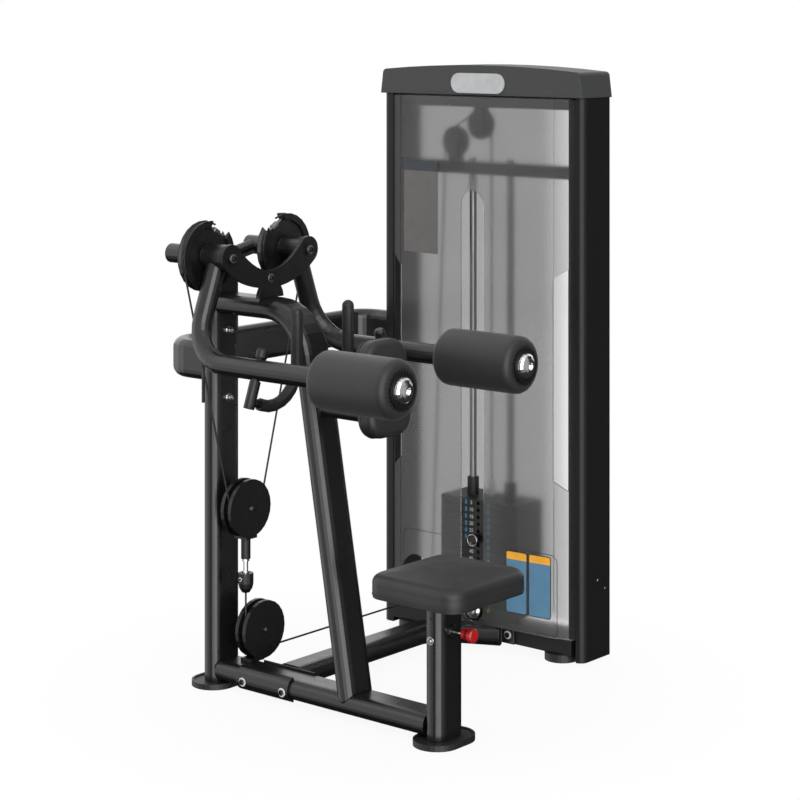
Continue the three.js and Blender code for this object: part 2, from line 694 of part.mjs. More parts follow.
function addHandle(name, side, arm) {
  const bore = PIN_RADIUS + GAP;
  const sleeve = turned([[bore, -SLEEVE_LOW], [SLEEVE_RADIUS, -SLEEVE_LOW], [SLEEVE_RADIUS, -SLEEVE_TOP],
    [bore, -SLEEVE_TOP], [bore, -SLEEVE_LOW]], 14);
  sleeve.rotateX(Math.PI / 2);
  sleeve.translate(HANDLE_X, 0, -ARM_DROP);
  const toLocal = (y, z) => v(HANDLE_X, y, z).applyAxisAngle(X, -side * LEAN);
  const startY = side * HANDLE_LOW * Math.sin(LEAN);
  const startZ = -HANDLE_LOW * Math.cos(LEAN);
  const gripY = side * (GRIP_SPREAD / 2 - PIVOT_Y);
  const run = Math.abs(gripY - startY) / Math.cos(LEAN);
  const lowZ = startZ - run * Math.sin(LEAN);
  const topZ = -GRIP_TOP_DROP - GRIP_DIAMETER / 2;
  const corners = [toLocal(startY, startZ), toLocal(gripY, lowZ), toLocal(gripY, topZ)];
  const path = rounded(corners, [GRIP_BEND], 8);
  const stubEnd = path[0].clone().lerp(path[1], 0.75);
  const stubStart = path[0].clone().lerp(path[1], 0.27);
  const stub = rod(STUB_RADIUS, stubStart, stubEnd, 12);
  piece(`${name}_handle`, join(sleeve, stub), "steel", arm);

  const gripPath = [stubEnd.clone().lerp(path[1], 0.03), ...path.slice(1)];
  const bar = tube(disc(GRIP_DIAMETER / 2), gripPath, X, 7);
  const ball = new THREE.SphereGeometry(GRIP_DIAMETER / 2, 14, 6);
  ball.translate(...path[path.length - 1].toArray());
  piece(`${name}_grip`, join(bar, ball), "rubber", arm);
}

// Pulleys
const WHEEL_PITCH = 52;
const WHEEL_FLOOR = 49;
const WHEEL_RADIUS = 61;
const SMALL_PITCH = 36;
const SMALL_FLOOR = 33;
const SMALL_RADIUS = 42;
const WHEEL_HALF = 6.5;
const AXLE_PIN = 6;
const FLOAT_Z = 455;
const LOW_Y = WHEEL_PITCH;
const RUN_Z = 88;
const LOW_Z = RUN_Z + WHEEL_PITCH;

// Two round cheeks with the wheel's pin between them
const CHEEK_GAP = 1;
const CHEEK_THICK = 10;
const SADDLE_HALF = 20;
const SADDLE_PLATE = 9;
const SADDLE_LAP = 2;
const BODY_TIP_SHARE = 0.5;
const BODY_SHOULDER_SHARE = 0.85;
const LINK_RADIUS = 12;
const LINK_LONG = 55;

function cheeks() {
  const parts = [];
  for (const side of [-1, 1]) {
    const near = side * (WHEEL_HALF + CHEEK_GAP);
    const far = side * (WHEEL_HALF + CHEEK_GAP + CHEEK_THICK);
    parts.push(turnedAlongX([[0, Math.min(near, far)], [PULLEY_RADIUS, Math.min(near, far)],
      [PULLEY_RADIUS, Math.max(near, far)], [0, Math.max(near, far)]], 0, 0, 0, 24));
  }
  const reach = WHEEL_HALF + CHEEK_GAP + CHEEK_THICK / 2;
  parts.push(rod(AXLE_PIN, v(-reach, 0, 0), v(reach, 0, 0), 12));
  return parts;
}

// The connector under the floating pulley: a nut, a stud, a nut and a body that narrows to the cable
const STUD_LONG = 36;
const STUD_RADIUS = 6;
const NUT_RADIUS = 9;
const NUT_TALL = 6;
const BODY_RADIUS = 19.5;
const BODY_LONG = 51;

function addFloatingPulley() {
  const group = new THREE.Group();
  group.position.set(CAM_X, 0, FLOAT_Z);
  frame.add(group);
  const across = WHEEL_HALF + CHEEK_GAP + CHEEK_THICK + OVERRUN * 3;
  const saddleTop = -Math.sqrt(PULLEY_RADIUS ** 2 - SADDLE_HALF ** 2) + OVERRUN;
  const saddleLow = saddleTop - SADDLE_PLATE / 2 - SADDLE_LAP;
  const saddle = box(-across, across, -SADDLE_HALF, SADDLE_HALF, saddleLow, saddleTop);
  const linkLow = -PULLEY_RADIUS - LINK_LONG;
  const linkTop = saddleTop - OVERRUN;
  const link = turned([[0, linkLow], [LINK_RADIUS, linkLow], [LINK_RADIUS, linkTop], [0, linkTop]], 14);
  link.rotateX(Math.PI / 2);
  piece("floating_pulley_yoke", join(...cheeks(), saddle, link), "dark", group);
  piece("floating_pulley", wheel(WHEEL_RADIUS, WHEEL_FLOOR, WHEEL_HALF, AXLE_PIN + GAP, 22), "dark", group);
  const start = linkLow - GAP;
  const body = start - STUD_LONG;
  const low = body - BODY_LONG;
  const connectorProfile = [
    [0, low],
    [BODY_RADIUS * BODY_TIP_SHARE, low + BODY_LONG / 20],
    [BODY_RADIUS * BODY_SHOULDER_SHARE, low + BODY_LONG / 4],
    [BODY_RADIUS, low + BODY_LONG / 2],
    [BODY_RADIUS, body],
    [NUT_RADIUS, body],
    [NUT_RADIUS, body + NUT_TALL],
    [STUD_RADIUS, body + NUT_TALL],
    [STUD_RADIUS, start - NUT_TALL],
    [NUT_RADIUS, start - NUT_TALL],
    [NUT_RADIUS, start],
    [0, start],
  ];
  const connector = turned(connectorProfile, 14);
  connector.rotateX(Math.PI / 2);
  piece("cable_connector", connector, "dark", group);
}

function addLowerPulley() {
  const group = new THREE.Group();
  group.position.set(CAM_X, LOW_Y, LOW_Z);
  frame.add(group);
  const across = WHEEL_HALF + CHEEK_GAP + CHEEK_THICK + GAP;
  const floor = RAIL_TOP + GAP - LOW_Z;
  const top = floor + SADDLE_PLATE;
  const reach = Math.sqrt(PULLEY_RADIUS ** 2 - top ** 2);
  const saddle = box(-across, across, -LOW_Y, -Math.min(reach, LOW_Y) * 0.1, floor, top);
  piece("lower_pulley_bracket", join(...cheeks(), saddle), "dark", group);
  piece("lower_pulley", wheel(WHEEL_RADIUS, WHEEL_FLOOR, WHEEL_HALF, AXLE_PIN + GAP, 22), "dark", group);
}

// Weight tower
const POST_WIDTH = 37;
const POST_LOW = 8;
const PANEL_THICK = 4;
const PANEL_LOW = 66;
const PANEL_EDGE_Y = 690;
const BEVEL_Y = 668.5;
const BOW_Y = 656;
const PANEL_BEVEL = 42;
const SLOT_WIDTH = 77;
const SLOT_LOW = 69;
const HEADER_TALL = 32;
const HEADER_LOW = TOWER_TOP - HEADER_TALL;
const CROSSBAR_DROP = 183;
const CROSSBAR_TALL = 33;
const CROSSBAR_TOP = TOWER_TOP - CROSSBAR_DROP;
const CROSSBAR_LOW = CROSSBAR_TOP - CROSSBAR_TALL;
const SLOT_DROP = 38;
const SLOT_TOP = CROSSBAR_LOW - SLOT_DROP;
const CROSSBAR_HALF = 25;
const CABLE_HOLE = 8;
const LOWER_RAIL_LOW = 21;
const LOWER_RAIL_TOP = 61;
const HEADER_INSET = 7;
const TOWER_FOOT_IN = 90;
const TOWER_FOOT_LONG = 150;
const TOWER_FOOT_WIDE = 90;
const POST_CORNER = 22;
const LUG_GAP = 1;
const LUG_THICK = 5;
const LUG_HALF = 16;
const QUARTER = Math.PI / 2;
const SMALL_HALF = 7;
const LOW_WHEEL_Y = STACK_Y - SMALL_PITCH;
const LOW_WHEEL_Z = RUN_Z + SMALL_PITCH;
const MID_WHEEL_X = 172;
const MID_WHEEL_RISE = 53;
const MID_WHEEL_Z = CROSSBAR_TOP + MID_WHEEL_RISE;
const TOP_WHEEL_X = TOWER_MID - SMALL_PITCH;
const TOP_WHEEL_DROP = 48;
const TOP_WHEEL_Z = HEADER_LOW - TOP_WHEEL_DROP;
const GUIDE_RADIUS = 9.5;

function towerPost(x0, x1, cornerX) {
  const radius = POST_CORNER;
  const shape = new THREE.Shape();
  if (cornerX > x0) {
    shape.moveTo(x0, TOWER_FRONT);
    shape.absarc(x1 - radius, TOWER_FRONT + radius, radius, -Math.PI / 2, 0);
    shape.lineTo(x1, TOWER_BACK);
    shape.lineTo(x0, TOWER_BACK);
  } else {
    shape.moveTo(x1, TOWER_BACK);
    shape.lineTo(x0, TOWER_BACK);
    shape.absarc(x0 + radius, TOWER_FRONT + radius, radius, Math.PI, 1.5 * Math.PI);
    shape.lineTo(x1, TOWER_FRONT);
  }
  return raised(shape, POST_LOW, TOWER_TOP, 5);
}

function addTower() {
  const leftInner = TOWER_LEFT + POST_WIDTH;
  const rightInner = TOWER_RIGHT - POST_WIDTH;
  piece("left_tower_post", towerPost(TOWER_LEFT, leftInner, TOWER_LEFT), "frame");
  piece("right_tower_post", towerPost(rightInner, TOWER_RIGHT, TOWER_RIGHT), "frame");
  const x0 = leftInner + GAP;
  const x1 = rightInner - GAP;
  addTowerRails(x0, x1);
  for (const [name, x] of [["left", TOWER_LEFT + TOWER_FOOT_IN], ["right", TOWER_RIGHT - TOWER_FOOT_IN]]) {
    const pad = raised(stadium(TOWER_FOOT_LONG, TOWER_FOOT_WIDE), 0, LOWER_RAIL_LOW - GAP, 8);
    pad.rotateZ(Math.PI / 2);
    pad.translate(x, (TOWER_FRONT + TOWER_BACK) / 2, 0);
    piece(`${name}_tower_foot`, pad, "rubber");
  }
  addPanels();
  addCap();
}

// Two lugs and the pin that a small pulley turns on, about an axis along X and reaching down to low
function lugs(low) {
  const reach = SMALL_HALF + LUG_GAP + LUG_THICK / 2;
  const parts = [rod(AXLE_PIN, v(-reach, 0, 0), v(reach, 0, 0), 10)];
  for (const side of [-1, 1]) {
    const inner = side * (SMALL_HALF + LUG_GAP);
    const outer = inner + side * LUG_THICK;
    const [x0, x1] = [Math.min(inner, outer), Math.max(inner, outer)];
    parts.push(box(x0, x1, -LUG_HALF, LUG_HALF, Math.min(low, -LUG_HALF), Math.max(low, LUG_HALF)));
  }
  return parts;
}

function placed(geometries, turn, x, y, z) {
  return geometries.map((geometry) => geometry.clone().rotateZ(turn).translate(x, y, z));
}

// Three bars between the posts: each carries one pulley of the cable run
function addTowerRails(x0, x1) {
  const back = TOWER_BACK - PANEL_THICK;
  const low = box(x0, x1, TOWER_FRONT, back, LOWER_RAIL_LOW, LOWER_RAIL_TOP);
  const lowLugs = placed(lugs(LOWER_RAIL_TOP - OVERRUN - LOW_WHEEL_Z), 0, CAM_X, LOW_WHEEL_Y, LOW_WHEEL_Z);
  piece("tower_lower_rail", join(low, ...lowLugs), "frame");
  const header = box(x0, x1, TOWER_FRONT + HEADER_INSET, back, HEADER_LOW, TOWER_TOP - PANEL_THICK / 2);
  const topArms = lugs(HEADER_LOW + OVERRUN - TOP_WHEEL_Z);
  const topLugs = placed(topArms, QUARTER, TOP_WHEEL_X, STACK_Y, TOP_WHEEL_Z);
  piece("tower_header", join(header, ...topLugs), "frame");
  const bar = box(x0, x1, STACK_Y - CROSSBAR_HALF, STACK_Y + CROSSBAR_HALF, CROSSBAR_LOW, CROSSBAR_TOP);
  const midArms = lugs(CROSSBAR_TOP - OVERRUN - MID_WHEEL_Z);
  const midLugs = placed(midArms, QUARTER, MID_WHEEL_X, STACK_Y, MID_WHEEL_Z);
  const drill = (radius, x, sides) => {
    const entry = v(x, STACK_Y, CROSSBAR_LOW - OVERRUN);
    return rod(radius, entry, v(x, STACK_Y, CROSSBAR_TOP + OVERRUN), sides);
  };
  const holes = [-1, 1].map((side) => drill(GUIDE_RADIUS + GAP, TOWER_MID + (side * ROD_SPREAD) / 2, 14));
  const cableHoles = [TOWER_MID, MID_WHEEL_X - SMALL_PITCH - GAP].map((x) => drill(CABLE_HOLE, x, 10));
  piece("tower_crossbar", cut(join(bar, ...midLugs), ...holes, ...cableHoles), "frame");
  const small = wheel(SMALL_RADIUS, SMALL_FLOOR, SMALL_HALF, AXLE_PIN + GAP, 18);
  for (const [name, turn, x, y, z] of [
    ["bottom_pulley", 0, CAM_X, LOW_WHEEL_Y, LOW_WHEEL_Z],
    ["middle_pulley", QUARTER, MID_WHEEL_X, STACK_Y, MID_WHEEL_Z],
    ["top_pulley", QUARTER, TOP_WHEEL_X, STACK_Y, TOP_WHEEL_Z],
  ]) {
    const mesh = piece(name, small, "dark");
    mesh.position.set(x, y, z);
    mesh.rotation.z = turn;
  }
}

// The panel's plan: a narrow flat edge, a bevel, a shallow bow and the same again
function panelPlan() {
  const left = TOWER_LEFT + POST_WIDTH + GAP;
  const right = TOWER_RIGHT - POST_WIDTH - GAP;
  const bevel = PANEL_BEVEL;
  const bow = (t) => BEVEL_Y - (BEVEL_Y - BOW_Y) * 4 * t * (1 - t);
  const front = [[left, PANEL_EDGE_Y]];
  const steps = 16;
  for (let k = 0; k <= steps; k++) {
    const t = k / steps;
    front.push([left + bevel + t * (right - left - 2 * bevel), bow(t)]);
  }
  front.push([right, PANEL_EDGE_Y]);
  const back = front.map(([x, y]) => [x, y + PANEL_THICK]).reverse();
  return polygon([...front, ...back]);
}

// Openings in the front panel: side windows with slanted ends, and an arch for the cable
const WINDOW_REACH = 296;
const WINDOW_WIDE = 37;
const WINDOW_LOW = 451;
const WINDOW_TOP = 1032;
const WINDOW_SLANT = 26;
const ARCH_OFFSET = 9;
const ARCH_RADIUS = 57;
const ARCH_SPRING = 158;

function addPanels() {
  const panel = raised(panelPlan(), PANEL_LOW, TOWER_TOP - PANEL_THICK);
  const through = [BOW_Y - PANEL_BEVEL / 2, TOWER_FRONT + PANEL_BEVEL / 2];
  const slotTool = frontal(stadiumAcross(SLOT_TOP - SLOT_LOW, SLOT_WIDTH), ...through, 8);
  slotTool.translate(TOWER_MID, 0, (SLOT_TOP + SLOT_LOW) / 2);
  const tools = [slotTool];
  for (const side of [-1, 1]) {
    const inner = TOWER_MID + side * (WINDOW_REACH - WINDOW_WIDE);
    const outer = TOWER_MID + side * WINDOW_REACH;
    const corners = [
      [inner, WINDOW_LOW + WINDOW_SLANT],
      [outer, WINDOW_LOW],
      [outer, WINDOW_TOP],
      [inner, WINDOW_TOP - WINDOW_SLANT],
    ];
    tools.push(frontal(polygon(side > 0 ? corners : corners.reverse()), ...through));
  }
  const arch = new THREE.Shape();
  const archX = CAM_X + ARCH_OFFSET;
  arch.moveTo(archX - ARCH_RADIUS, PANEL_LOW - OVERRUN);
  arch.lineTo(archX + ARCH_RADIUS, PANEL_LOW - OVERRUN);
  arch.lineTo(archX + ARCH_RADIUS, ARCH_SPRING);
  arch.absarc(archX, ARCH_SPRING, ARCH_RADIUS, 0, Math.PI);
  tools.push(frontal(arch, ...through, 10));
  piece("front_panel", cut(panel, ...tools), "panel");
  addBackPanel();
}

const BACK_SHEET = 3;

function addBackPanel() {
  const steps = 14;
  const left = TOWER_LEFT + BACK_SHEET;
  const right = TOWER_RIGHT - BACK_SHEET;
  const y = TOWER_BACK + GAP;
  const outer = [];
  for (let k = 0; k <= steps; k++) {
    const t = k / steps;
    outer.push([left + t * (right - left), y + BACK_SHEET + BACK_BULGE * 4 * t * (1 - t)]);
  }
  const inner = outer.map(([px, py]) => [px, py - BACK_SHEET]).reverse();
  piece("back_panel", raised(polygon([...outer, ...inner]), PANEL_LOW, TOWER_TOP - PANEL_THICK), "panel");
}

// Cap over the tower: slanted ends, a bowed top and a hollow for the posts' tops
const CAP_LEAN = 7;
const CAP_CORNER = 12;
const CAP_BOW = 16;
const CAP_OVER = 6;
const CAP_WALL = 12;
const BADGE_WIDE = 182;
const BADGE_TALL = 54;
const BADGE_THICK = 3;

function addCap() {
  const lean = CAP_LEAN;
  const corner = CAP_CORNER;
  const shape = new THREE.Shape();
  const top = CAP_CREST - CAP_BOW;
  const base = TOWER_TOP + GAP;
  const left = TOWER_LEFT - CAP_OVER / 2;
  const right = TOWER_RIGHT + CAP_OVER / 2;
  shape.moveTo(left, base);
  shape.lineTo(right, base);
  shape.lineTo(right - lean, top - corner);
  shape.quadraticCurveTo(right - lean, top, right - lean - corner, top + corner / 6);
  shape.quadraticCurveTo(TOWER_MID, 2 * CAP_CREST - top - corner / 6, left + lean + corner, top + corner / 6);
  shape.quadraticCurveTo(left + lean, top, left + lean, top - corner);
  shape.lineTo(left, base);
  const front = TOWER_FRONT - CAP_OVER;
  const back = TOWER_BACK + CAP_OVER;
  const cap = frontal(shape, front, back, 8);
  const hollow = box(left + CAP_WALL, right - CAP_WALL, front + CAP_WALL, back - CAP_WALL,
    base - OVERRUN, top - CAP_WALL);
  piece("tower_cap", cut(cap, hollow), "cap");
  const badge = frontal(stadium(BADGE_WIDE, BADGE_TALL), front - BADGE_THICK - GAP, front - GAP, 7);
  badge.translate(TOWER_MID, 0, (base + top) / 2);
  piece("cap_badge", badge, "badge");
}

// Weight stack and guide rods
const SEAM = 1.6;
const STEM_HOLE = 14;
const STEM_RADIUS = 12;
const PIN_HOLE = 6.2;
const PLATE_CORNER = 5;
const ROD_CLEARANCE = 1.5;
const SLEEVE_OUTER = 16;
const SLEEVE_BORE = 11;
const SLEEVE_TALL = 46;
const STEM_COLLAR = 20;
const STEM_COLLAR_TALL = 12;
const STEM_TOP_TALL = 48;
const STEM_NECK = 8;
const STEM_CLEAR = 5;
const PIN_SHANK = 4.8;
const PIN_KNOB = 14;
const PIN_KNOB_TALL = 17;
const STACK_SPLIT = STACK_TOP - LIFTED_PLATES * PLATE_PITCH;
const PIN_Z = STACK_SPLIT + PLATE_PITCH / 2;

// Plates that move together are one node: a core with a groove between one plate and the next
function plates(z0, count) {
  const outline = (inset) => roundedBox(STACK_WIDTH - 2 * inset, STACK_DEPTH - 2 * inset, PLATE_CORNER);
  const top = z0 + count * PLATE_PITCH - GAP;
  const parts = [raised(outline(SEAM), z0, top, 1)];
  const down = (radius, x, sides) => rod(radius, v(x, 0, z0 - OVERRUN), v(x, 0, top + OVERRUN), sides);
  const holes = [down(STEM_HOLE, 0, 10)];
  for (const side of [-1, 1]) {
    holes.push(down(GUIDE_RADIUS + ROD_CLEARANCE, (side * ROD_SPREAD) / 2, 10));
  }
  for (let k = 0; k < count; k++) {
    const low = z0 + k * PLATE_PITCH;
    parts.push(raised(outline(0), low, low + PLATE_PITCH - (k < count - 1 ? SEAM : GAP), 1));
    const middle = low + PLATE_PITCH / 2;
    holes.push(rod(PIN_HOLE, v(0, -STACK_DEPTH / 2 - OVERRUN, middle), v(0, -STEM_RADIUS, middle), 6));
  }
  return cut(join(...parts), ...holes);
}

const STACK_PAD_LONG = 200;

function addStack() {
  const resting = plates(STACK_BOTTOM, PLATE_COUNT - LIFTED_PLATES);
  resting.translate(TOWER_MID, STACK_Y, 0);
  piece("resting_plates", resting, "plates");
  const sleeves = [-1, 1].map((side) => {
    const sleeve = turned([[SLEEVE_BORE, -OVERRUN], [SLEEVE_OUTER, -OVERRUN], [SLEEVE_OUTER, SLEEVE_TALL],
      [SLEEVE_BORE, SLEEVE_TALL], [SLEEVE_BORE, -OVERRUN]], 12);
    return sleeve.rotateX(QUARTER).translate((side * ROD_SPREAD) / 2, 0, STACK_TOP);
  });
  const lifted = join(plates(STACK_SPLIT, LIFTED_PLATES), ...sleeves);
  lifted.translate(TOWER_MID, STACK_Y, 0);
  piece("lifted_plates", lifted, "plates");
  addStem();
  const face = STACK_DEPTH / 2 + SEAM + STEM_NECK;
  const end = face + PIN_KNOB_TALL + PIN_SHANK;
  const pinProfile = [
    [0, 0],
    [PIN_SHANK, 0],
    [PIN_SHANK, face],
    [STEM_RADIUS, face],
    [PIN_KNOB, face + PIN_SHANK],
    [PIN_KNOB, face + PIN_KNOB_TALL],
    [PIN_SHANK * 2, end],
    [0, end],
  ];
  const pin = turned(pinProfile, 14);
  pin.rotateX(Math.PI).translate(TOWER_MID, STACK_Y + STEM_NECK, PIN_Z);
  piece("selector_pin", pin, "dark");
  for (const [name, side] of [["left", -1], ["right", 1]]) {
    const x = TOWER_MID + (side * ROD_SPREAD) / 2;
    const rodLow = v(x, STACK_Y, LOWER_RAIL_TOP + GAP);
    const rodTop = v(x, STACK_Y, CROSSBAR_TOP + GUIDE_RADIUS);
    piece(`${name}_guide_rod`, rod(GUIDE_RADIUS, rodLow, rodTop, 14), "chrome");
  }
  const shape = stadium(STACK_PAD_LONG, STACK_DEPTH / 2);
  for (const side of [-1, 1]) {
    const hole = new THREE.Path();
    hole.absarc((side * ROD_SPREAD) / 2, 0, GUIDE_RADIUS + ROD_CLEARANCE, 0, 2 * Math.PI, true);
    shape.holes.push(hole);
  }
  const cushion = raised(shape, LOWER_RAIL_TOP + GAP, STACK_BOTTOM - GAP, 7);
  piece("stack_pad", cushion.translate(TOWER_MID, STACK_Y, 0), "rubber");
}

// The stem hangs in the plates' middle holes and takes the selector pin in any plate
function addStem() {
  const low = STACK_BOTTOM + STEM_CLEAR;
  const top = STACK_TOP;
  const profile = [
    [0, low],
    [STEM_RADIUS, low],
    [STEM_RADIUS, top],
    [STEM_COLLAR, top],
    [STEM_COLLAR, top + STEM_COLLAR_TALL],
    [STEM_NECK, top + STEM_COLLAR_TALL],
    [STEM_NECK, top + STEM_TOP_TALL],
    [0, top + STEM_TOP_TALL],
  ];
  const stem = turned(profile, 12).rotateX(QUARTER);
  const holes = [];
  for (let k = 0; k < PLATE_COUNT; k++) {
    const z = STACK_BOTTOM + (k + 0.5) * PLATE_PITCH;
    holes.push(rod(PIN_HOLE, v(0, -STEM_COLLAR, z), v(0, STEM_COLLAR, z), 6));
  }
  piece("selector_stem", cut(stem, ...holes).translate(TOWER_MID, STACK_Y, 0), "steel");
}

// Soft pads: rings of a rounded outline, drawn in towards the middle as they rise to the crown
const PAD_HEART = 12;
const PAD_FOLD = 5;

function pad(long, wide, corner, rings) {
  const steps = 4;
  const positions = [];
  for (const [inset, height] of rings) {
    const radius = Math.max(corner - inset, PAD_HEART);
    const a = long / 2 - inset - radius;
    const b = wide / 2 - inset - radius;
    for (const [sx, sy, first] of [[1, 1, 0], [-1, 1, 1], [-1, -1, 2], [1, -1, 3]]) {
      for (let k = 0; k <= steps; k++) {
        const turn = (first + k / steps) * QUARTER;
        positions.push(sx * a + radius * Math.cos(turn), sy * b + radius * Math.sin(turn), height);
      }
    }
  }
  const around = 4 * (steps + 1);
  const index = [];
  for (let ring = 0; ring < rings.length - 1; ring++) {
    for (let k = 0; k < around; k++) {
      const here = ring * around + k;
      const next = ring * around + ((k + 1) % around);
      index.push(here, next, next + around, here, next + around, here + around);
    }
  }
  const lowest = rings[0][1];
  const highest = rings[rings.length - 1][1];
  positions.push(0, 0, lowest, 0, 0, highest);
  const centre = rings.length * around;
  const last = (rings.length - 1) * around;
  for (let k = 0; k < around; k++) {
    const next = (k + 1) % around;
    index.push(centre, next, k);
    index.push(centre + 1, last + k, last + next);
  }
  const geometry = new THREE.BufferGeometry();
  geometry.setAttribute("position", new THREE.Float32BufferAttribute(positions, 3));
  geometry.setIndex(index);
  geometry.computeVertexNormals();
  return geometry;
}

// The rings of a pad that is flat below, round at the edge and crowned above
function crowned(thick, edge, crown, reach) {
  const rings = [[PAD_FOLD, 0], [0, PAD_FOLD], [0, thick - crown - edge]];
  const steps = 4;
  for (let k = 1; k <= steps; k++) {
    const turn = (k / steps) * QUARTER;
    rings.push([edge - edge * Math.cos(turn), thick - crown - edge + edge * Math.sin(turn)]);
  }
  for (let k = 1; k <= 4; k++) {
    const t = k / 4;
    rings.push([edge + t * (reach - edge), thick - crown * (1 - t) ** 2]);
  }
  return rings;
}

// Seat: a pad on a plate and an inner tube that slides in the seat post
const SEAT_TRAVEL = 120;
const SEAT_CORNER = 44;
const SEAT_EDGE = 24;
const SEAT_CROWN = 9;
const SEAT_PLATE_LONG = 190;
const SEAT_PLATE_WIDE = 210;
const SEAT_PLATE_CORNER = 15;
const SEAT_PLATE = 8;
const SLOT_HALF = 9;
const SLOT_OVER = 22;
const SLOT_UNDER = 12;
const POST_WALL = 4;
const POST_TOP_DROP = 20;
const HOUSING_PIN_RADIUS = 16;
const HOUSING_PIN_TALL = 4.6;
const PULL_SHANK = 5;
const PULL_CLEARANCE = 0.5;
const PULL_HOLE = PULL_SHANK + PULL_CLEARANCE;
const PULL_START = 14;
const PULL_SHANK_LONG = 44;
const PULL_COLLAR = 12.5;
const PULL_COLLAR_TALL = 9;
const PULL_NECK = 7;
const PULL_NECK_LONG = 11;
const PULL_KNOB = 17;
const PULL_KNOB_TALL = 13;
const PULL_BEVEL = 3;
const SEAT_PIN_Z = 262;
const INNER_LOW = 125;

function addSeat() {
  const reach = Math.min(SEAT_LENGTH, SEAT_WIDTH) / 2 - PAD_HEART;
  const rings = crowned(SEAT_THICK, SEAT_EDGE, SEAT_CROWN, reach);
  const cushion = pad(SEAT_LENGTH, SEAT_WIDTH, SEAT_CORNER, rings);
  piece("seat_pad", cushion.translate(SEAT_X, 0, SEAT_BOTTOM), "rubber");
  const plateTop = SEAT_BOTTOM - GAP;
  const outline = roundedBox(SEAT_PLATE_LONG, SEAT_PLATE_WIDE, SEAT_PLATE_CORNER);
  const plate = raised(outline, plateTop - SEAT_PLATE, plateTop, 3).translate(SEAT_X, 0, 0);
  const wide = TUBE_WIDE - 2 * POST_WALL - 2 * GAP;
  const thin = TUBE_THIN - 2 * POST_WALL - 2 * GAP;
  const outerTop = v(RAIL_LENGTH, 0, plateTop - SEAT_PLATE / 2);
  const outer = straight(stadium(wide, thin), v(RAIL_LENGTH, 0, INNER_LOW), outerTop, Y);
  const hollow = stadium(wide - 2 * POST_WALL, thin - 2 * POST_WALL);
  const innerTop = v(RAIL_LENGTH, 0, plateTop - 1.5 * SEAT_PLATE);
  const inner = straight(hollow, v(RAIL_LENGTH, 0, INNER_LOW - OVERRUN), innerTop, Y);
  const slotShape = stadiumAcross(SEAT_TRAVEL + SLOT_OVER + SLOT_UNDER, 2 * SLOT_HALF);
  const slot = sideways(slotShape, RAIL_LENGTH, RAIL_LENGTH + TUBE_THIN);
  slot.translate(0, 0, SEAT_PIN_Z + (SLOT_OVER - SLOT_UNDER - SEAT_TRAVEL) / 2);
  piece("seat_slide", cut(join(cut(outer, inner), plate), slot), "steel");
  const collar = PULL_SHANK_LONG + PULL_COLLAR_TALL;
  const knob = collar + PULL_NECK_LONG;
  const end = knob + PULL_KNOB_TALL;
  const pin = [[0, 0], [PULL_SHANK, 0], [PULL_SHANK, PULL_SHANK_LONG], [PULL_COLLAR, PULL_SHANK_LONG],
    [PULL_COLLAR, collar], [PULL_NECK, collar], [PULL_NECK, knob], [PULL_KNOB, knob],
    [PULL_KNOB, end - PULL_BEVEL], [PULL_KNOB - PULL_BEVEL, end], [0, end]];
  piece("seat_pull_pin", turnedAlongX(pin, RAIL_LENGTH + PULL_START, 0, SEAT_PIN_Z, 16), "red");
}

// Post for the seat: open at the top, with the pull pin's housing on its front
function seatPost() {
  const top = SEAT_BOTTOM - POST_TOP_DROP;
  const outer = straight(upright, v(RAIL_LENGTH, 0, FOOT_FLOOR), v(RAIL_LENGTH, 0, top), Y);
  const hollow = stadium(TUBE_WIDE - 2 * POST_WALL, TUBE_THIN - 2 * POST_WALL);
  const boreTop = v(RAIL_LENGTH, 0, top + OVERRUN);
  const bore = straight(hollow, v(RAIL_LENGTH, 0, INNER_LOW - POST_WALL), boreTop, Y);
  const face = RAIL_LENGTH + TUBE_THIN / 2;
  const housingStart = v(face - POST_WALL / 2, 0, SEAT_PIN_Z);
  const housing = rod(HOUSING_PIN_RADIUS, housingStart, v(face + HOUSING_PIN_TALL, 0, SEAT_PIN_Z), 18);
  const holeStart = v(RAIL_LENGTH + POST_WALL, 0, SEAT_PIN_Z);
  const hole = rod(PULL_HOLE, holeStart, v(face + TUBE_THIN, 0, SEAT_PIN_Z), 12);
  return cut(join(outer, housing), bore, hole);
}

// Chest pad on the end of the main post's strut
function addChestPad() {
  const rings = crowned(CHEST_THICK, CHEST_EDGE, CHEST_CROWN, CHEST_WIDE / 2 - PAD_HEART);
  const cushion = pad(CHEST_TALL, CHEST_WIDE, CHEST_CORNER, rings);
  cushion.rotateY(QUARTER + CHEST_TILT);
  cushion.translate(CHEST_X, 0, CHEST_LOW + CHEST_TALL / 2);
  piece("chest_pad", cushion, "rubber");
}

// Cables: arcs round the wheels, joined by straight runs
function arc(centre, across, radius, from, to, steps) {
  const points = [];
  for (let k = 0; k <= steps; k++) {
    const turn = THREE.MathUtils.degToRad(from + ((to - from) * k) / steps);
    const point = centre.clone().addScaledVector(across, radius * Math.cos(turn));
    points.push(point.addScaledVector(Z, radius * Math.sin(turn)));
  }
  return points;
}

const ARM_CABLE_LEAVES = -9.6;
const RISER_MEETS = 177.6;
const RISER_LEAVES = 119.9;
const CABLE_LAP = 4;

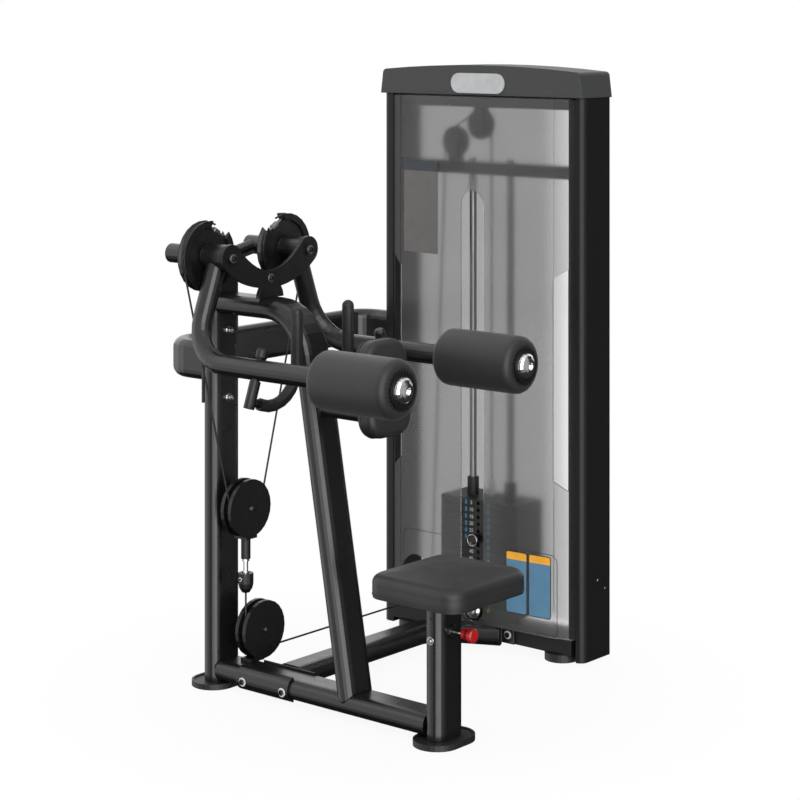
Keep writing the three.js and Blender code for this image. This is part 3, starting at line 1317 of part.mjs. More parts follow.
function addCables() {
  const right = v(CAM_X, PIVOT_Y, PIVOT_Z);
  const left = v(CAM_X, -PIVOT_Y, PIVOT_Z);
  const start = 180 - NOTCH_ANGLE - 8;
  const armRoute = [
    ...arc(right, Y, CAM_PITCH, start, ARM_CABLE_LEAVES, 10),
    ...arc(v(CAM_X, 0, FLOAT_Z), Y, WHEEL_PITCH, ARM_CABLE_LEAVES, -180 - ARM_CABLE_LEAVES, 12),
    ...arc(left, Y, CAM_PITCH, 180 - ARM_CABLE_LEAVES, 180 - start, 10),
  ];
  piece("arm_cable", tube(disc(CABLE / 2), armRoute, X, 3), "dark");

  const riserStart = v(CAM_X, STACK_Y, LOW_WHEEL_Z);
  const lowRoute = [
    v(CAM_X, 0, FLOAT_Z - PULLEY_RADIUS - LINK_LONG - STUD_LONG - BODY_LONG - 2 * GAP),
    ...arc(v(CAM_X, LOW_Y, LOW_Z), Y, WHEEL_PITCH, 180, 270, 8),
    ...arc(v(CAM_X, LOW_WHEEL_Y, LOW_WHEEL_Z), Y, SMALL_PITCH, -90, 0, 7),
    v(CAM_X, STACK_Y, LOW_WHEEL_Z + CABLE_LAP),
  ];
  const highRoute = [
    riserStart,
    ...arc(v(MID_WHEEL_X, STACK_Y, MID_WHEEL_Z), X, SMALL_PITCH, RISER_MEETS, RISER_LEAVES, 5),
    ...arc(v(TOP_WHEEL_X, STACK_Y, TOP_WHEEL_Z), X, SMALL_PITCH, RISER_LEAVES, 0, 9),
    v(TOWER_MID, STACK_Y, STACK_TOP + STEM_TOP_TALL + GAP),
  ];
  const low = tube(disc(CABLE / 2), lowRoute, X, 3);
  const high = tube(disc(CABLE / 2), highRoute, Y, 3);
  piece("stack_cable", join(low, high), "dark");
}

addFrame();
addBase();
addBand();
addPivots();
addArm("left", -1);
addArm("right", 1);
addFloatingPulley();
addLowerPulley();
addTower();
addStack();
addSeat();
addChestPad();
addCables();

export default machine;
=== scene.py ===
"""Lateral raise machine: finishes, soft pads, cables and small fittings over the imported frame."""

import json
import math

import bmesh
import bpy
from mathutils import Matrix, Vector


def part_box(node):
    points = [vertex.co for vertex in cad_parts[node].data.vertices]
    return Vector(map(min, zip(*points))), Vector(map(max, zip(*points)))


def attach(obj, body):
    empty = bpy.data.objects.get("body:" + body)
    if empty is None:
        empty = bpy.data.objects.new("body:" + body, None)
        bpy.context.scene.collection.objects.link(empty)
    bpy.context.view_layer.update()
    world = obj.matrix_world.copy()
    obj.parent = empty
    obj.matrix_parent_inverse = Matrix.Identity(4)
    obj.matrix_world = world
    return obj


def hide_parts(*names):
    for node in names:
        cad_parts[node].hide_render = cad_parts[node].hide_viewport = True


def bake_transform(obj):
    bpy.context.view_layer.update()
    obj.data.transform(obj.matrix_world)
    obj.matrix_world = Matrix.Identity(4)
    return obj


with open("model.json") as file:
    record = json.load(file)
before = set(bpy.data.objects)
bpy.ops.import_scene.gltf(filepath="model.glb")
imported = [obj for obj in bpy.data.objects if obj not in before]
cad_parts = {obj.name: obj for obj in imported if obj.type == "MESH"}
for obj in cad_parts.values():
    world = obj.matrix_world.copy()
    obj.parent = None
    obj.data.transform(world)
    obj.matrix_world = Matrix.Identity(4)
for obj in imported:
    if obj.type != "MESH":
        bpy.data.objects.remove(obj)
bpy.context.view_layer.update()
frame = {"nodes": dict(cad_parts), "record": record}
nodes = frame["nodes"]

X = Vector((1, 0, 0))
Y = Vector((0, 1, 0))
Z = Vector((0, 0, 1))
QUARTER = math.pi / 2


# Places: millimetres from the foot of the rear upright's middle, turned into the frame's metres
upright_low, upright_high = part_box("rear_upright")
ORIGIN = (upright_low + upright_high) / 2
ORIGIN.z = 0


def at(x, y, z):
    return ORIGIN + Vector((x, y, z)) / 1000


SIDES = {"left": -1, "right": 1}
PIVOT_Y = 140
PIVOT_Z = 1101
LEAN = math.radians(20)
ARM_DROP = 260
ARM_Y = PIVOT_Y + ARM_DROP * math.sin(LEAN)
ARM_Z = PIVOT_Z - ARM_DROP * math.cos(LEAN)
ROLLER_END = 790
CAM_X = 86
CAM_PITCH = 82
FLOAT_Z = 455
WHEEL_PITCH = 52
RUN_Z = 88
SMALL_PITCH = 36
STACK_X = 295.5
STACK_Y = 744
STACK_LOW = 88
PLATE_PITCH = 18.8
PLATE_COUNT = 16
LIFTED_PLATES = 6
STACK_TOP = STACK_LOW + PLATE_COUNT * PLATE_PITCH
STACK_FRONT = STACK_Y - 61.1
SHEET_HALF = 262


# Camera: level, with the frame shifted down to the machine
CAMERA_PLACE = (3987, -4044, 1700)
CAMERA_AZIMUTH = math.radians(40)
CAMERA_SENSOR = 36
CAMERA_LENS = 100
CAMERA_SHIFT = -0.4825
CAMERA_REACH = 60


def make_camera():
    data = bpy.data.cameras.new("camera")
    camera = bpy.data.objects.new("camera", data)
    bpy.context.scene.collection.objects.link(camera)
    camera.location = at(*CAMERA_PLACE)
    camera.rotation_euler = (QUARTER, 0, CAMERA_AZIMUTH)
    data.sensor_width = CAMERA_SENSOR
    data.lens = CAMERA_LENS
    data.shift_y = CAMERA_SHIFT
    data.clip_end = CAMERA_REACH
    bpy.context.scene.camera = camera


# Materials
class NodeTree:
    """Short calls that add nodes and links to the shader tree of a material or a world."""

    def __init__(self, data):
        self.data = data
        self.data.use_nodes = True
        self.tree = data.node_tree

    def node(self, kind, **values):
        made = self.tree.nodes.new(kind)
        for key, value in values.items():
            setattr(made, key, value)
        return made

    def link(self, source, target):
        self.tree.links.new(source, target)

    def math(self, operation, first, second):
        made = self.node("ShaderNodeMath", operation=operation)
        for socket, value in zip(made.inputs, (first, second)):
            if isinstance(value, (int, float)):
                socket.default_value = value
            else:
                self.link(value, socket)
        return made.outputs["Value"]

    def spread(self, source, start, end, low, high, **values):
        """Low where the source is at its start, high at its end, and even between them."""
        made = self.node("ShaderNodeMapRange", **values)
        made.inputs["From Min"].default_value = start
        made.inputs["From Max"].default_value = end
        made.inputs["To Min"].default_value = low
        made.inputs["To Max"].default_value = high
        self.link(source, made.inputs["Value"])
        return made.outputs["Result"]


class Material(NodeTree):
    """A node material: one Principled shader, and short calls that add detail to it."""

    def __init__(self, name, color, roughness, metallic=0.0, specular=0.5):
        super().__init__(bpy.data.materials.new(name))
        self.shader = self.tree.nodes["Principled BSDF"]
        self.place = self.node("ShaderNodeTexCoord").outputs["Object"]
        self.set("Base Color", (*color, 1))
        self.set("Roughness", roughness)
        self.set("Metallic", metallic)
        self.set("Specular IOR Level", specular)
        self.normal = None

    def set(self, socket, value):
        self.shader.inputs[socket].default_value = value

    def noise(self, scale, detail, stretch=(1, 1, 1)):
        mapping = self.node("ShaderNodeMapping")
        mapping.inputs["Scale"].default_value = stretch
        self.link(self.place, mapping.inputs["Vector"])
        noise = self.node("ShaderNodeTexNoise")
        noise.inputs["Scale"].default_value = scale
        noise.inputs["Detail"].default_value = detail
        self.link(mapping.outputs["Vector"], noise.inputs["Vector"])
        return noise.outputs["Fac"]

    def tint(self, source, low, high, start=0.3, end=0.7):
        ramp = self.node("ShaderNodeValToRGB")
        for element, position, color in zip(ramp.color_ramp.elements, (start, end), (low, high)):
            element.position = position
            element.color = (*color, 1)
        self.link(source, ramp.inputs["Fac"])
        self.link(ramp.outputs["Color"], self.shader.inputs["Base Color"])

    def vary_roughness(self, source, low, high):
        self.link(self.spread(source, 0.3, 0.7, low, high), self.shader.inputs["Roughness"])

    def bump(self, source, strength, distance):
        bump = self.node("ShaderNodeBump")
        bump.inputs["Strength"].default_value = strength
        bump.inputs["Distance"].default_value = distance
        self.link(source, bump.inputs["Height"])
        if self.normal is not None:
            self.link(self.normal, bump.inputs["Normal"])
        self.normal = bump.outputs["Normal"]
        self.link(self.normal, self.shader.inputs["Normal"])

    def soften_edges(self, radius):
        bevel = self.node("ShaderNodeBevel", samples=4)
        bevel.inputs["Radius"].default_value = radius
        self.normal = bevel.outputs["Normal"]
        self.link(self.normal, self.shader.inputs["Normal"])


def powder_coat():
    m = Material("powder_coat", (0.006, 0.006, 0.0062), 0.30, 0.0, 0.7)
    m.soften_edges(0.003)
    m.tint(m.noise(900, 2), (0.0045, 0.0045, 0.0047), (0.0080, 0.0080, 0.0082))
    m.vary_roughness(m.noise(35, 4), 0.27, 0.33)
    m.bump(m.noise(1600, 2), 0.05, 0.0004)
    return m


def satin_black():
    m = Material("satin_black", (0.005, 0.005, 0.0052), 0.34, 0.0, 0.5)
    m.soften_edges(0.0015)
    m.tint(m.noise(70, 3), (0.004, 0.004, 0.0042), (0.007, 0.007, 0.0072))
    m.vary_roughness(m.noise(60, 4), 0.32, 0.44)
    m.bump(m.noise(1200, 2), 0.05, 0.0003)
    return m


def tower_coat():
    m = Material("tower_coat", (0.010, 0.010, 0.0102), 0.36, 0.0, 0.25)
    m.soften_edges(0.003)
    m.tint(m.noise(700, 2), (0.009, 0.009, 0.0092), (0.012, 0.012, 0.0122))
    m.vary_roughness(m.noise(30, 4), 0.33, 0.40)
    m.bump(m.noise(1400, 2), 0.05, 0.0004)
    return m


def foam():
    m = Material("foam", (0.020, 0.020, 0.0205), 0.50, 0.0, 0.45)
    m.set("Sheen Weight", 0.12)
    m.set("Sheen Roughness", 0.5)
    m.tint(m.noise(260, 4), (0.015, 0.015, 0.0155), (0.025, 0.025, 0.0255))
    m.bump(m.noise(700, 3), 0.20, 0.0008)
    return m


def vinyl():
    m = Material("vinyl", (0.022, 0.022, 0.0225), 0.46, 0.0, 0.5)
    m.tint(m.noise(9, 4), (0.019, 0.019, 0.0195), (0.027, 0.027, 0.0275))
    grain = m.node("ShaderNodeTexVoronoi", feature="F1")
    grain.inputs["Scale"].default_value = 620
    m.link(m.place, grain.inputs["Vector"])
    m.bump(grain.outputs["Distance"], 0.22, 0.0006)
    m.vary_roughness(m.noise(14, 4), 0.42, 0.52)
    return m


def rubber():
    m = Material("rubber", (0.014, 0.014, 0.014), 0.48, 0.0, 0.45)
    m.tint(m.noise(40, 4), (0.011, 0.011, 0.011), (0.018, 0.018, 0.018))
    m.bump(m.noise(900, 2), 0.10, 0.0005)
    return m


def chrome():
    m = Material("chrome", (0.80, 0.80, 0.81), 0.12, 1.0)
    m.soften_edges(0.0008)
    m.vary_roughness(m.noise(80, 4), 0.08, 0.18)
    return m


def zinc():
    m = Material("zinc", (0.52, 0.53, 0.54), 0.30, 1.0)
    m.tint(m.noise(120, 4), (0.42, 0.43, 0.44), (0.60, 0.61, 0.62))
    m.vary_roughness(m.noise(200, 4), 0.24, 0.40)
    return m


def guide_steel():
    m = Material("guide_steel", (0.27, 0.27, 0.275), 0.42, 1.0)
    m.vary_roughness(m.noise(60, 4, (30, 30, 1)), 0.38, 0.46)
    return m


def brushed():
    m = Material("brushed", (0.60, 0.61, 0.62), 0.30, 1.0)
    m.vary_roughness(m.noise(60, 4, (1, 1, 30)), 0.22, 0.36)
    m.bump(m.noise(400, 2, (0.05, 1, 1)), 0.10, 0.0003)
    return m


def cast_plate():
    m = Material("stack_plate", (0.018, 0.018, 0.019), 0.42, 0.0, 0.45)
    m.soften_edges(0.0012)
    m.tint(m.noise(25, 4), (0.015, 0.015, 0.016), (0.024, 0.024, 0.025))
    m.bump(m.noise(300, 4), 0.10, 0.0005)
    return m


def moulded_cap():
    m = Material("moulded_cap", (0.045, 0.046, 0.047), 0.50, 0.0, 0.4)
    m.soften_edges(0.004)
    m.tint(m.noise(500, 3), (0.040, 0.041, 0.042), (0.052, 0.053, 0.054))
    m.bump(m.noise(900, 2), 0.14, 0.0005)
    return m


def smoked_sheet(name, tone, roughness):
    """A smoked sheet: what stands behind it shows through as a soft, grey shape."""
    m = Material(name, (tone, tone, tone * 1.01), roughness, 0.0, 0.4)
    m.set("Transmission Weight", 0.97)
    m.set("IOR", 1.35)
    m.vary_roughness(m.noise(90, 4), roughness * 0.92, roughness * 1.08)
    m.bump(m.noise(500, 3), 0.04, 0.0004)
    return m


PEARL_TURNS = (0.10, 0.20)


def pearl_sheet():
    """The back sheet: milky, and lighter past the stack, from PEARL_TURNS metres to its right."""
    m = smoked_sheet("pearl_back", 0.4, 0.12)
    place = m.node("ShaderNodeNewGeometry").outputs["Position"]
    parts = m.node("ShaderNodeSeparateXYZ")
    m.link(place, parts.inputs["Vector"])
    offset = m.math("SUBTRACT", parts.outputs["X"], at(STACK_X, 0, 0).x)
    m.tint(offset, (0.40, 0.40, 0.403), (0.88, 0.88, 0.885), *PEARL_TURNS)
    return m


def enamel(name, color, roughness):
    m = Material(name, color, roughness, 0.0, 0.5)
    darker = tuple(c * 0.85 for c in color)
    m.tint(m.noise(30, 3), darker, color)
    m.vary_roughness(m.noise(60, 3), roughness * 0.85, roughness * 1.15)
    return m


def braided_coat():
    m = Material("cable_coat", (0.016, 0.016, 0.017), 0.38, 0.0, 0.5)
    wave = m.node("ShaderNodeTexWave", wave_type="BANDS", bands_direction="DIAGONAL")
    wave.inputs["Scale"].default_value = 90
    m.link(m.place, wave.inputs["Vector"])
    m.bump(wave.outputs["Fac"], 0.25, 0.0006)
    m.vary_roughness(m.noise(200, 3), 0.32, 0.46)
    return m


FLOOR_FADE = (0.55, 1.0)
FLOOR_GLOW = (0.92, 1.0)


def floor_white():
    """A pale floor that takes the shadow near the machine and is plain white further out."""
    m = Material("floor_white", (0.80, 0.80, 0.80), 0.9)
    reach = m.node("ShaderNodeVectorMath", operation="LENGTH")
    m.link(m.place, reach.inputs[0])
    fade = m.spread(reach.outputs["Value"], *FLOOR_FADE, *FLOOR_GLOW)
    path = m.node("ShaderNodeLightPath")
    mix = m.node("ShaderNodeMixShader")
    m.link(m.math("MULTIPLY", path.outputs["Is Camera Ray"], fade), mix.inputs["Fac"])
    m.link(m.shader.outputs["BSDF"], mix.inputs[1])
    m.link(m.node("ShaderNodeEmission").outputs["Emission"], mix.inputs[2])
    m.link(mix.outputs["Shader"], m.tree.nodes["Material Output"].inputs["Surface"])
    return m


MATERIALS = {
    "frame": powder_coat(),
    "dark": satin_black(),
    "foam": foam(),
    "vinyl": vinyl(),
    "rubber": rubber(),
    "chrome": chrome(),
    "zinc": zinc(),
    "steel": brushed(),
    "rod": guide_steel(),
    "plates": cast_plate(),
    "cap": moulded_cap(),
    "tower": tower_coat(),
    "panel": smoked_sheet("smoked_front", 0.74, 0.25),
    "back": pearl_sheet(),
    "badge": enamel("badge_silver", (0.50, 0.51, 0.52), 0.34),
    "red": enamel("red_knob", (0.46, 0.012, 0.014), 0.30),
    "board": enamel("board_grey", (0.120, 0.108, 0.108), 0.4),
    "board_head": enamel("board_slate", (0.028, 0.034, 0.044), 0.4),
    "blue": enamel("label_blue", (0.10, 0.24, 0.38), 0.45),
    "orange": enamel("label_orange", (0.95, 0.44, 0.03), 0.45),
    "marine": enamel("mark_blue", (0.03, 0.24, 0.36), 0.45),
    "yellow": enamel("mark_yellow", (0.52, 0.42, 0.03), 0.45),
    "pale": enamel("mark_pale", (0.72, 0.72, 0.72), 0.5),
    "cable": braided_coat(),
    "floor": floor_white(),
}


# Finishes for the carried-over nodes: the record's slots, apart from these
OTHER_LOOKS = {
    "back_panel": "back",
    "left_axle": "dark",
    "right_axle": "dark",
    "left_tower_post": "tower",
    "right_tower_post": "tower",
    "tower_lower_rail": "tower",
    "selector_stem": "zinc",
    "left_guide_rod": "rod",
    "right_guide_rod": "rod",
    "left_handle": "dark",
    "right_handle": "dark",
}
SMOOTH_ANGLE = 32
BENT_ANGLE = 46
BENT_NODES = ("rear_band", "left_grip", "right_grip")
END_CAP_FACE = 796.8
KNOB_BACK = 785.8
STUD_LOW = 291


def finish_nodes():
    looks = {part["node"]: part["material_slot"] for part in frame["record"]["subparts"]}
    looks.update(OTHER_LOOKS)
    for name, node in nodes.items():
        node.data.materials.clear()
        node.data.materials.append(MATERIALS[looks.get(name, "frame")].data)
        smooth(node.data, BENT_ANGLE if name in BENT_NODES else SMOOTH_ANGLE)
    for side in SIDES:
        repaint(f"{side}_end_cap", "dark", lambda c: c.x < at(END_CAP_FACE, 0, 0).x)
    repaint("seat_pull_pin", "chrome", lambda c: c.x < at(KNOB_BACK, 0, 0).x)
    repaint("front_panel", "tower", lambda c: c.x < at(STACK_X - SHEET_HALF, 0, 0).x)
    repaint("cable_connector", "chrome", lambda c: c.z > at(0, 0, STUD_LOW).z)


def smooth(mesh, degrees):
    mesh.shade_smooth()
    mesh.set_sharp_from_angle(angle=math.radians(degrees))


def repaint(name, look, test):
    """A second finish on the faces of a node whose middle passes the test."""
    mesh = nodes[name].data
    mesh.materials.append(MATERIALS[look].data)
    for face in mesh.polygons:
        if test(face.center):
            face.material_index = len(mesh.materials) - 1


# Mesh helpers
def place_mesh(name, mesh, look, body, degrees=35):
    """Turns a bmesh into a piece that rides on a body."""
    data = bpy.data.meshes.new(name)
    bmesh.ops.recalc_face_normals(mesh, faces=mesh.faces)
    mesh.to_mesh(data)
    mesh.free()
    smooth(data, degrees)
    piece = bpy.data.objects.new(name, data)
    bpy.context.scene.collection.objects.link(piece)
    data.materials.append(MATERIALS[look].data)
    if body:
        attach(piece, body)
    return piece


def square_axes(along):
    along = along.normalized()
    first = (Z if abs(along.z) < 0.9 else X).cross(along).normalized()
    return first, along.cross(first)


def circle(centre, first, second, reach, segments):
    """Points round a centre. The reach is in millimetres, or a function of the angle."""
    points = []
    for k in range(segments):
        turn = 2 * math.pi * k / segments
        size = reach(turn) if callable(reach) else reach
        points.append(centre + (first * math.cos(turn) + second * math.sin(turn)) * size / 1000)
    return points


def add_rings(mesh, rings, loop=False):
    """Joins rings of points, all with the same count, into a skin with ends, or into a loop."""
    rows = [[mesh.verts.new(p) for p in ring] for ring in rings]
    count = len(rows[0])
    pairs = list(zip(rows, rows[1:])) + ([(rows[-1], rows[0])] if loop else [])
    for a, b in pairs:
        for k in range(count):
            mesh.faces.new((a[k], a[(k + 1) % count], b[(k + 1) % count], b[k]))
    if not loop:
        mesh.faces.new(rows[0][::-1])
        mesh.faces.new(rows[-1])


def add_turned(mesh, start, along, profile, segments=24, loop=False):
    """A turned shape: the profile is a list of (radius, distance along), in millimetres."""
    axes = square_axes(along)
    along = along.normalized()
    rings = [
        circle(start + along * distance / 1000, *axes, radius, segments)
        for radius, distance in profile
    ]
    add_rings(mesh, rings, loop)


def add_cord(mesh, points, radius, closed=False, segments=8):
    """A round bead along points, its section turned with the path."""
    count = len(points)
    rings = []
    for k, point in enumerate(points):
        before = points[(k - 1) % count] if closed or k else point
        after = points[(k + 1) % count] if closed or k < count - 1 else point
        tangent = (after - before).normalized()
        first = tangent.cross(Z)
        if first.length < 0.1:
            first = tangent.cross(X)
        first.normalize()
        rings.append(circle(point, first, tangent.cross(first), radius, segments))
    add_rings(mesh, rings, loop=closed)


def add_box(mesh, low, high):
    made = bmesh.ops.create_cube(mesh, size=1)["verts"]
    bmesh.ops.scale(mesh, vec=high - low, verts=made)
    bmesh.ops.translate(mesh, vec=(low + high) / 2, verts=made)


# Heads, washers and nuts, in millimetres; shares are of a head's radius or height
WASHER_THICK = 1.6
HEAD_LIFT = 1.2
HEAD_SEGMENTS = 24
SOCKET_SHARE = 0.62
# The dark disc at the floor of each socket is painted shade in the recess; three of the values
# below size it.
SOCKET_SHADE_SHARE = 0.52
SOCKET_FLOOR_SHARE = 0.35
SOCKET_SHADE_LIFT = 0.05
SOCKET_SHADE_TALL = 0.3
NUT_RADIUS = 10.0
NUT_TALL = 8.0
NUT_WASHER = 1.5
BOLT_PAST_NUT = 3


def add_washer(mesh, place, along, radius):
    rim = [(radius, 0), (radius, WASHER_THICK * 0.7), (radius - 0.5, WASHER_THICK)]
    add_turned(mesh, place, along, rim, 32)


def add_head(mesh, place, along, radius, height):
    """A round head with a hexagon socket in its end."""
    axes = square_axes(along)
    along = along.normalized()

    def hexagon(turn):
        flat = radius * SOCKET_SHARE * math.cos(math.pi / 6)
        return flat / math.cos((turn % (math.pi / 3)) - math.pi / 6)

    profile = [
        (0.8, radius), (height * 0.55, radius), (height * 0.85, radius * 0.94),
        (height, radius * 0.80), (height, hexagon), (height * SOCKET_FLOOR_SHARE, hexagon),
    ]
    add_rings(mesh, [
        circle(place + along * distance / 1000, *axes, reach, HEAD_SEGMENTS)
        for distance, reach in profile
    ])


def add_nut(mesh, place, along):
    """A nut on its washer, with the end of the bolt standing out of it."""
    wide = NUT_RADIUS * 1.25
    seat = place + along.normalized() * NUT_WASHER / 1000
    add_turned(mesh, place, along, [(wide, 0), (wide, NUT_WASHER), (NUT_RADIUS, NUT_WASHER)])
    add_turned(mesh, seat, along, [(NUT_RADIUS, 0), (NUT_RADIUS, NUT_TALL)], 6)
    end = NUT_TALL + BOLT_PAST_NUT
    add_turned(mesh, seat, along, [(NUT_RADIUS * 0.5, 0), (NUT_RADIUS * 0.5, end)], 16)


def bolts(name, body, places, radius=7.0, height=5.0, washer=11.0, head="dark", ring="chrome"):
    """Heads on washers, and a dark disc at the floor of each socket: painted shade in the recess.
    """
    heads, rings, socket_shades = bmesh.new(), bmesh.new(), bmesh.new()
    shade_radius = radius * SOCKET_SHADE_SHARE
    for place, along in places:
        out = along.normalized() / 1000
        add_washer(rings, place, along, washer)
        add_head(heads, place + out * HEAD_LIFT, along, radius, height)
        floor = place + out * (height * SOCKET_FLOOR_SHARE + HEAD_LIFT + SOCKET_SHADE_LIFT)
        # A dark disc at the socket's floor: painted shade in the recess.
        add_turned(socket_shades, floor, along, [(shade_radius, 0), (shade_radius, SOCKET_SHADE_TALL)], 6)
    place_mesh(name + "_washers", rings, ring, body)
    place_mesh(name + "_heads", heads, head, body)
    place_mesh(name + "_sockets", socket_shades, "dark", body)


# Soft pads, in millimetres: their outlines' steps, their board's edge and the height it ends at
PER_CORNER = 10
PER_SIDE = 8
CORNER_SHRINK = 0.8
CORNER_LEAST = 4.0
FLAT_LEAST = 0.5
UNDER_SHARE = 0.35
BOARD_LIP = (1.5, 1.2)
SIDE_INSET = 0.8
PAD_BASE = 8.0
CROWN_MARGIN = 3
SWELL_STEPS = 7
SHOULDER_STEPS = 10
CROWN_STEPS = 12
PIPING_INSET = 0.2
PIPING_RADIUS = 1.2


def pad_rings(long, wide, corner, rings):
    """Rounded outlines, one for each (inset, height), as points in the pad's own plane."""
    quarters = [(1, 1), (-1, 1), (-1, -1), (1, -1)]
    result = []
    for inset, height in rings:
        radius = max(corner - inset * CORNER_SHRINK, CORNER_LEAST)
        a = max(long / 2 - inset - radius, FLAT_LEAST)
        b = max(wide / 2 - inset - radius, FLAT_LEAST)
        ring = []
        for quarter, (sx, sy) in enumerate(quarters):
            nx, ny = quarters[(quarter + 1) % 4]
            for k in range(PER_CORNER + 1):
                turn = (quarter + k / PER_CORNER) * QUARTER
                east, north = radius * math.cos(turn), radius * math.sin(turn)
                ring.append((sx * a + east, sy * b + north, height))
            for k in range(1, PER_SIDE):
                t = k / PER_SIDE
                x = sx * a + (nx - sx) * a * t + east
                y = sy * b + (ny - sy) * b * t + north
                ring.append((x, y, height))
        result.append(ring)
    return result


def cushion(name, body, place, long, wide, thick, corner, edge, crown, piping):
    """A stuffed pad on a flat board: sides that swell, a rounded shoulder and a crowned top."""
    rings = [(edge * UNDER_SHARE, 0.0), BOARD_LIP]
    rings += [(SIDE_INSET, PAD_BASE * 0.5), (SIDE_INSET, PAD_BASE)]
    side = thick - crown - edge
    for k in range(1, SWELL_STEPS):
        t = k / SWELL_STEPS
        swell = SIDE_INSET * math.sin(math.pi * t)
        rings.append((SIDE_INSET - swell, PAD_BASE + (side - PAD_BASE) * t))
    for k in range(SHOULDER_STEPS + 1):
        turn = k / SHOULDER_STEPS * QUARTER
        rings.append((edge - edge * math.cos(turn), side + edge * math.sin(turn)))
    reach = min(long, wide) / 2 - CROWN_MARGIN
    for k in range(1, CROWN_STEPS + 1):
        t = k / CROWN_STEPS
        rings.append((edge + t * (reach - edge), thick - crown * (1 - t) ** 2))
    mesh = bmesh.new()
    outlines = pad_rings(long, wide, corner, rings)
    add_rings(mesh, [[place @ Vector(point) for point in ring] for ring in outlines])
    piece = place_mesh(name, mesh, "vinyl", None, 60)
    bead = bmesh.new()
    line = pad_rings(long, wide, corner, [(PIPING_INSET, piping)])[0]
    add_cord(bead, [place @ Vector(point) for point in line], PIPING_RADIUS, closed=True)
    cord = place_mesh(name + "_piping", bead, "vinyl", None, 60)
    cord.parent = piece
    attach(piece, body)
    return piece


def board_frame(origin, right, up, out):
    """A matrix that carries millimetres in a pad's own axes to the frame."""
    turn = Matrix((right, up, out)).transposed().to_4x4()
    return Matrix.Translation(origin) @ turn @ Matrix.Scale(0.001, 4)


CHEST_X = 520
CHEST_Z = 804
CHEST_TILT = math.radians(-5)
CHEST_SIZE = (154, 232, 50)


def make_pads():
    low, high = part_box("seat_pad")
    middle = (low + high) / 2
    size = (high - low) * 1000
    place = board_frame(Vector((middle.x, middle.y, low.z)), X, Y, Z)
    seat = cushion("seat_cushion", "seat", place, *size, corner=44, edge=22, crown=7, piping=9.0)
    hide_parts("seat_pad")
    tilt = Matrix.Rotation(CHEST_TILT, 4, "Y")
    place = board_frame(at(CHEST_X, 0, CHEST_Z), Y, tilt @ Z, tilt @ X)
    chest = cushion(
        "chest_cushion", "frame", place, *CHEST_SIZE, corner=50, edge=18, crown=4, piping=8.0
    )
    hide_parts("chest_pad")


FOAM_RADIUS = 69.6
FOAM_BORE = 25.6
FOAM_EDGE = 19
FOAM_SWELL = 0.35
FOAM_STEPS = 8


def make_roller(side, sign):
    """Foam roller: a thick sleeve with soft shoulders and a skin that gives a little."""
    low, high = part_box(f"{side}_roller")
    long = (high.x - low.x) * 1000
    flat = FOAM_RADIUS - FOAM_EDGE
    near, middle, far = [], [], []
    for k in range(FOAM_STEPS + 1):
        turn = k / FOAM_STEPS * QUARTER
        rise, run = FOAM_EDGE * math.sin(turn), FOAM_EDGE * math.cos(turn)
        near.append((flat + rise, FOAM_EDGE - run))
        far.append((flat + run, long - FOAM_EDGE + rise))
    for k in range(1, FOAM_STEPS):
        t = k / FOAM_STEPS
        radius = FOAM_RADIUS + FOAM_SWELL * math.sin(math.pi * t)
        middle.append((radius, FOAM_EDGE + (long - 2 * FOAM_EDGE) * t))
    profile = [(FOAM_BORE, 0.6), *near, *middle, *far, (FOAM_BORE, long - 0.6)]
    start = at(0, sign * ARM_Y, ARM_Z)
    start.x = low.x
    mesh = bmesh.new()
    add_turned(mesh, start, X, profile, 64, loop=True)
    piece = place_mesh(f"{side}_foam_roller", mesh, "foam", None, 60)
    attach(piece, f"{side}_roller")
    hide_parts(f"{side}_roller")


# Cables: arcs round the wheels, with their angles in degrees, joined by straight runs
CABLE_RADIUS = 2.5
CABLE_STEP = 0.012
ARM_CABLE_STARTS = 112
ARM_CABLE_LEAVES = -9.6
MID_WHEEL_X = 172
MID_WHEEL_Z = 1350
TOP_WHEEL_Z = 1400
RISER_MEETS = 177.6
RISER_LEAVES = 119.9
CONNECTOR_FOOT = 240
STEM_TALL = 48


def arc(centre, across, radius, start, end, steps):
    points = []
    for k in range(steps + 1):
        turn = math.radians(start + (end - start) * k / steps)
        points.append(centre + (across * math.cos(turn) + Z * math.sin(turn)) * radius / 1000)
    return points


def spaced(points):
    """The same route with more points on its long runs."""
    result = [points[0]]
    for a, b in zip(points, points[1:]):
        parts = max(1, round((b - a).length / CABLE_STEP))
        result += [a.lerp(b, k / parts) for k in range(1, parts + 1)]
    return result


def cable(name, points):
    mesh = bmesh.new()
    add_cord(mesh, spaced(points), CABLE_RADIUS, segments=12)
    return place_mesh(name, mesh, "cable", None, 60)


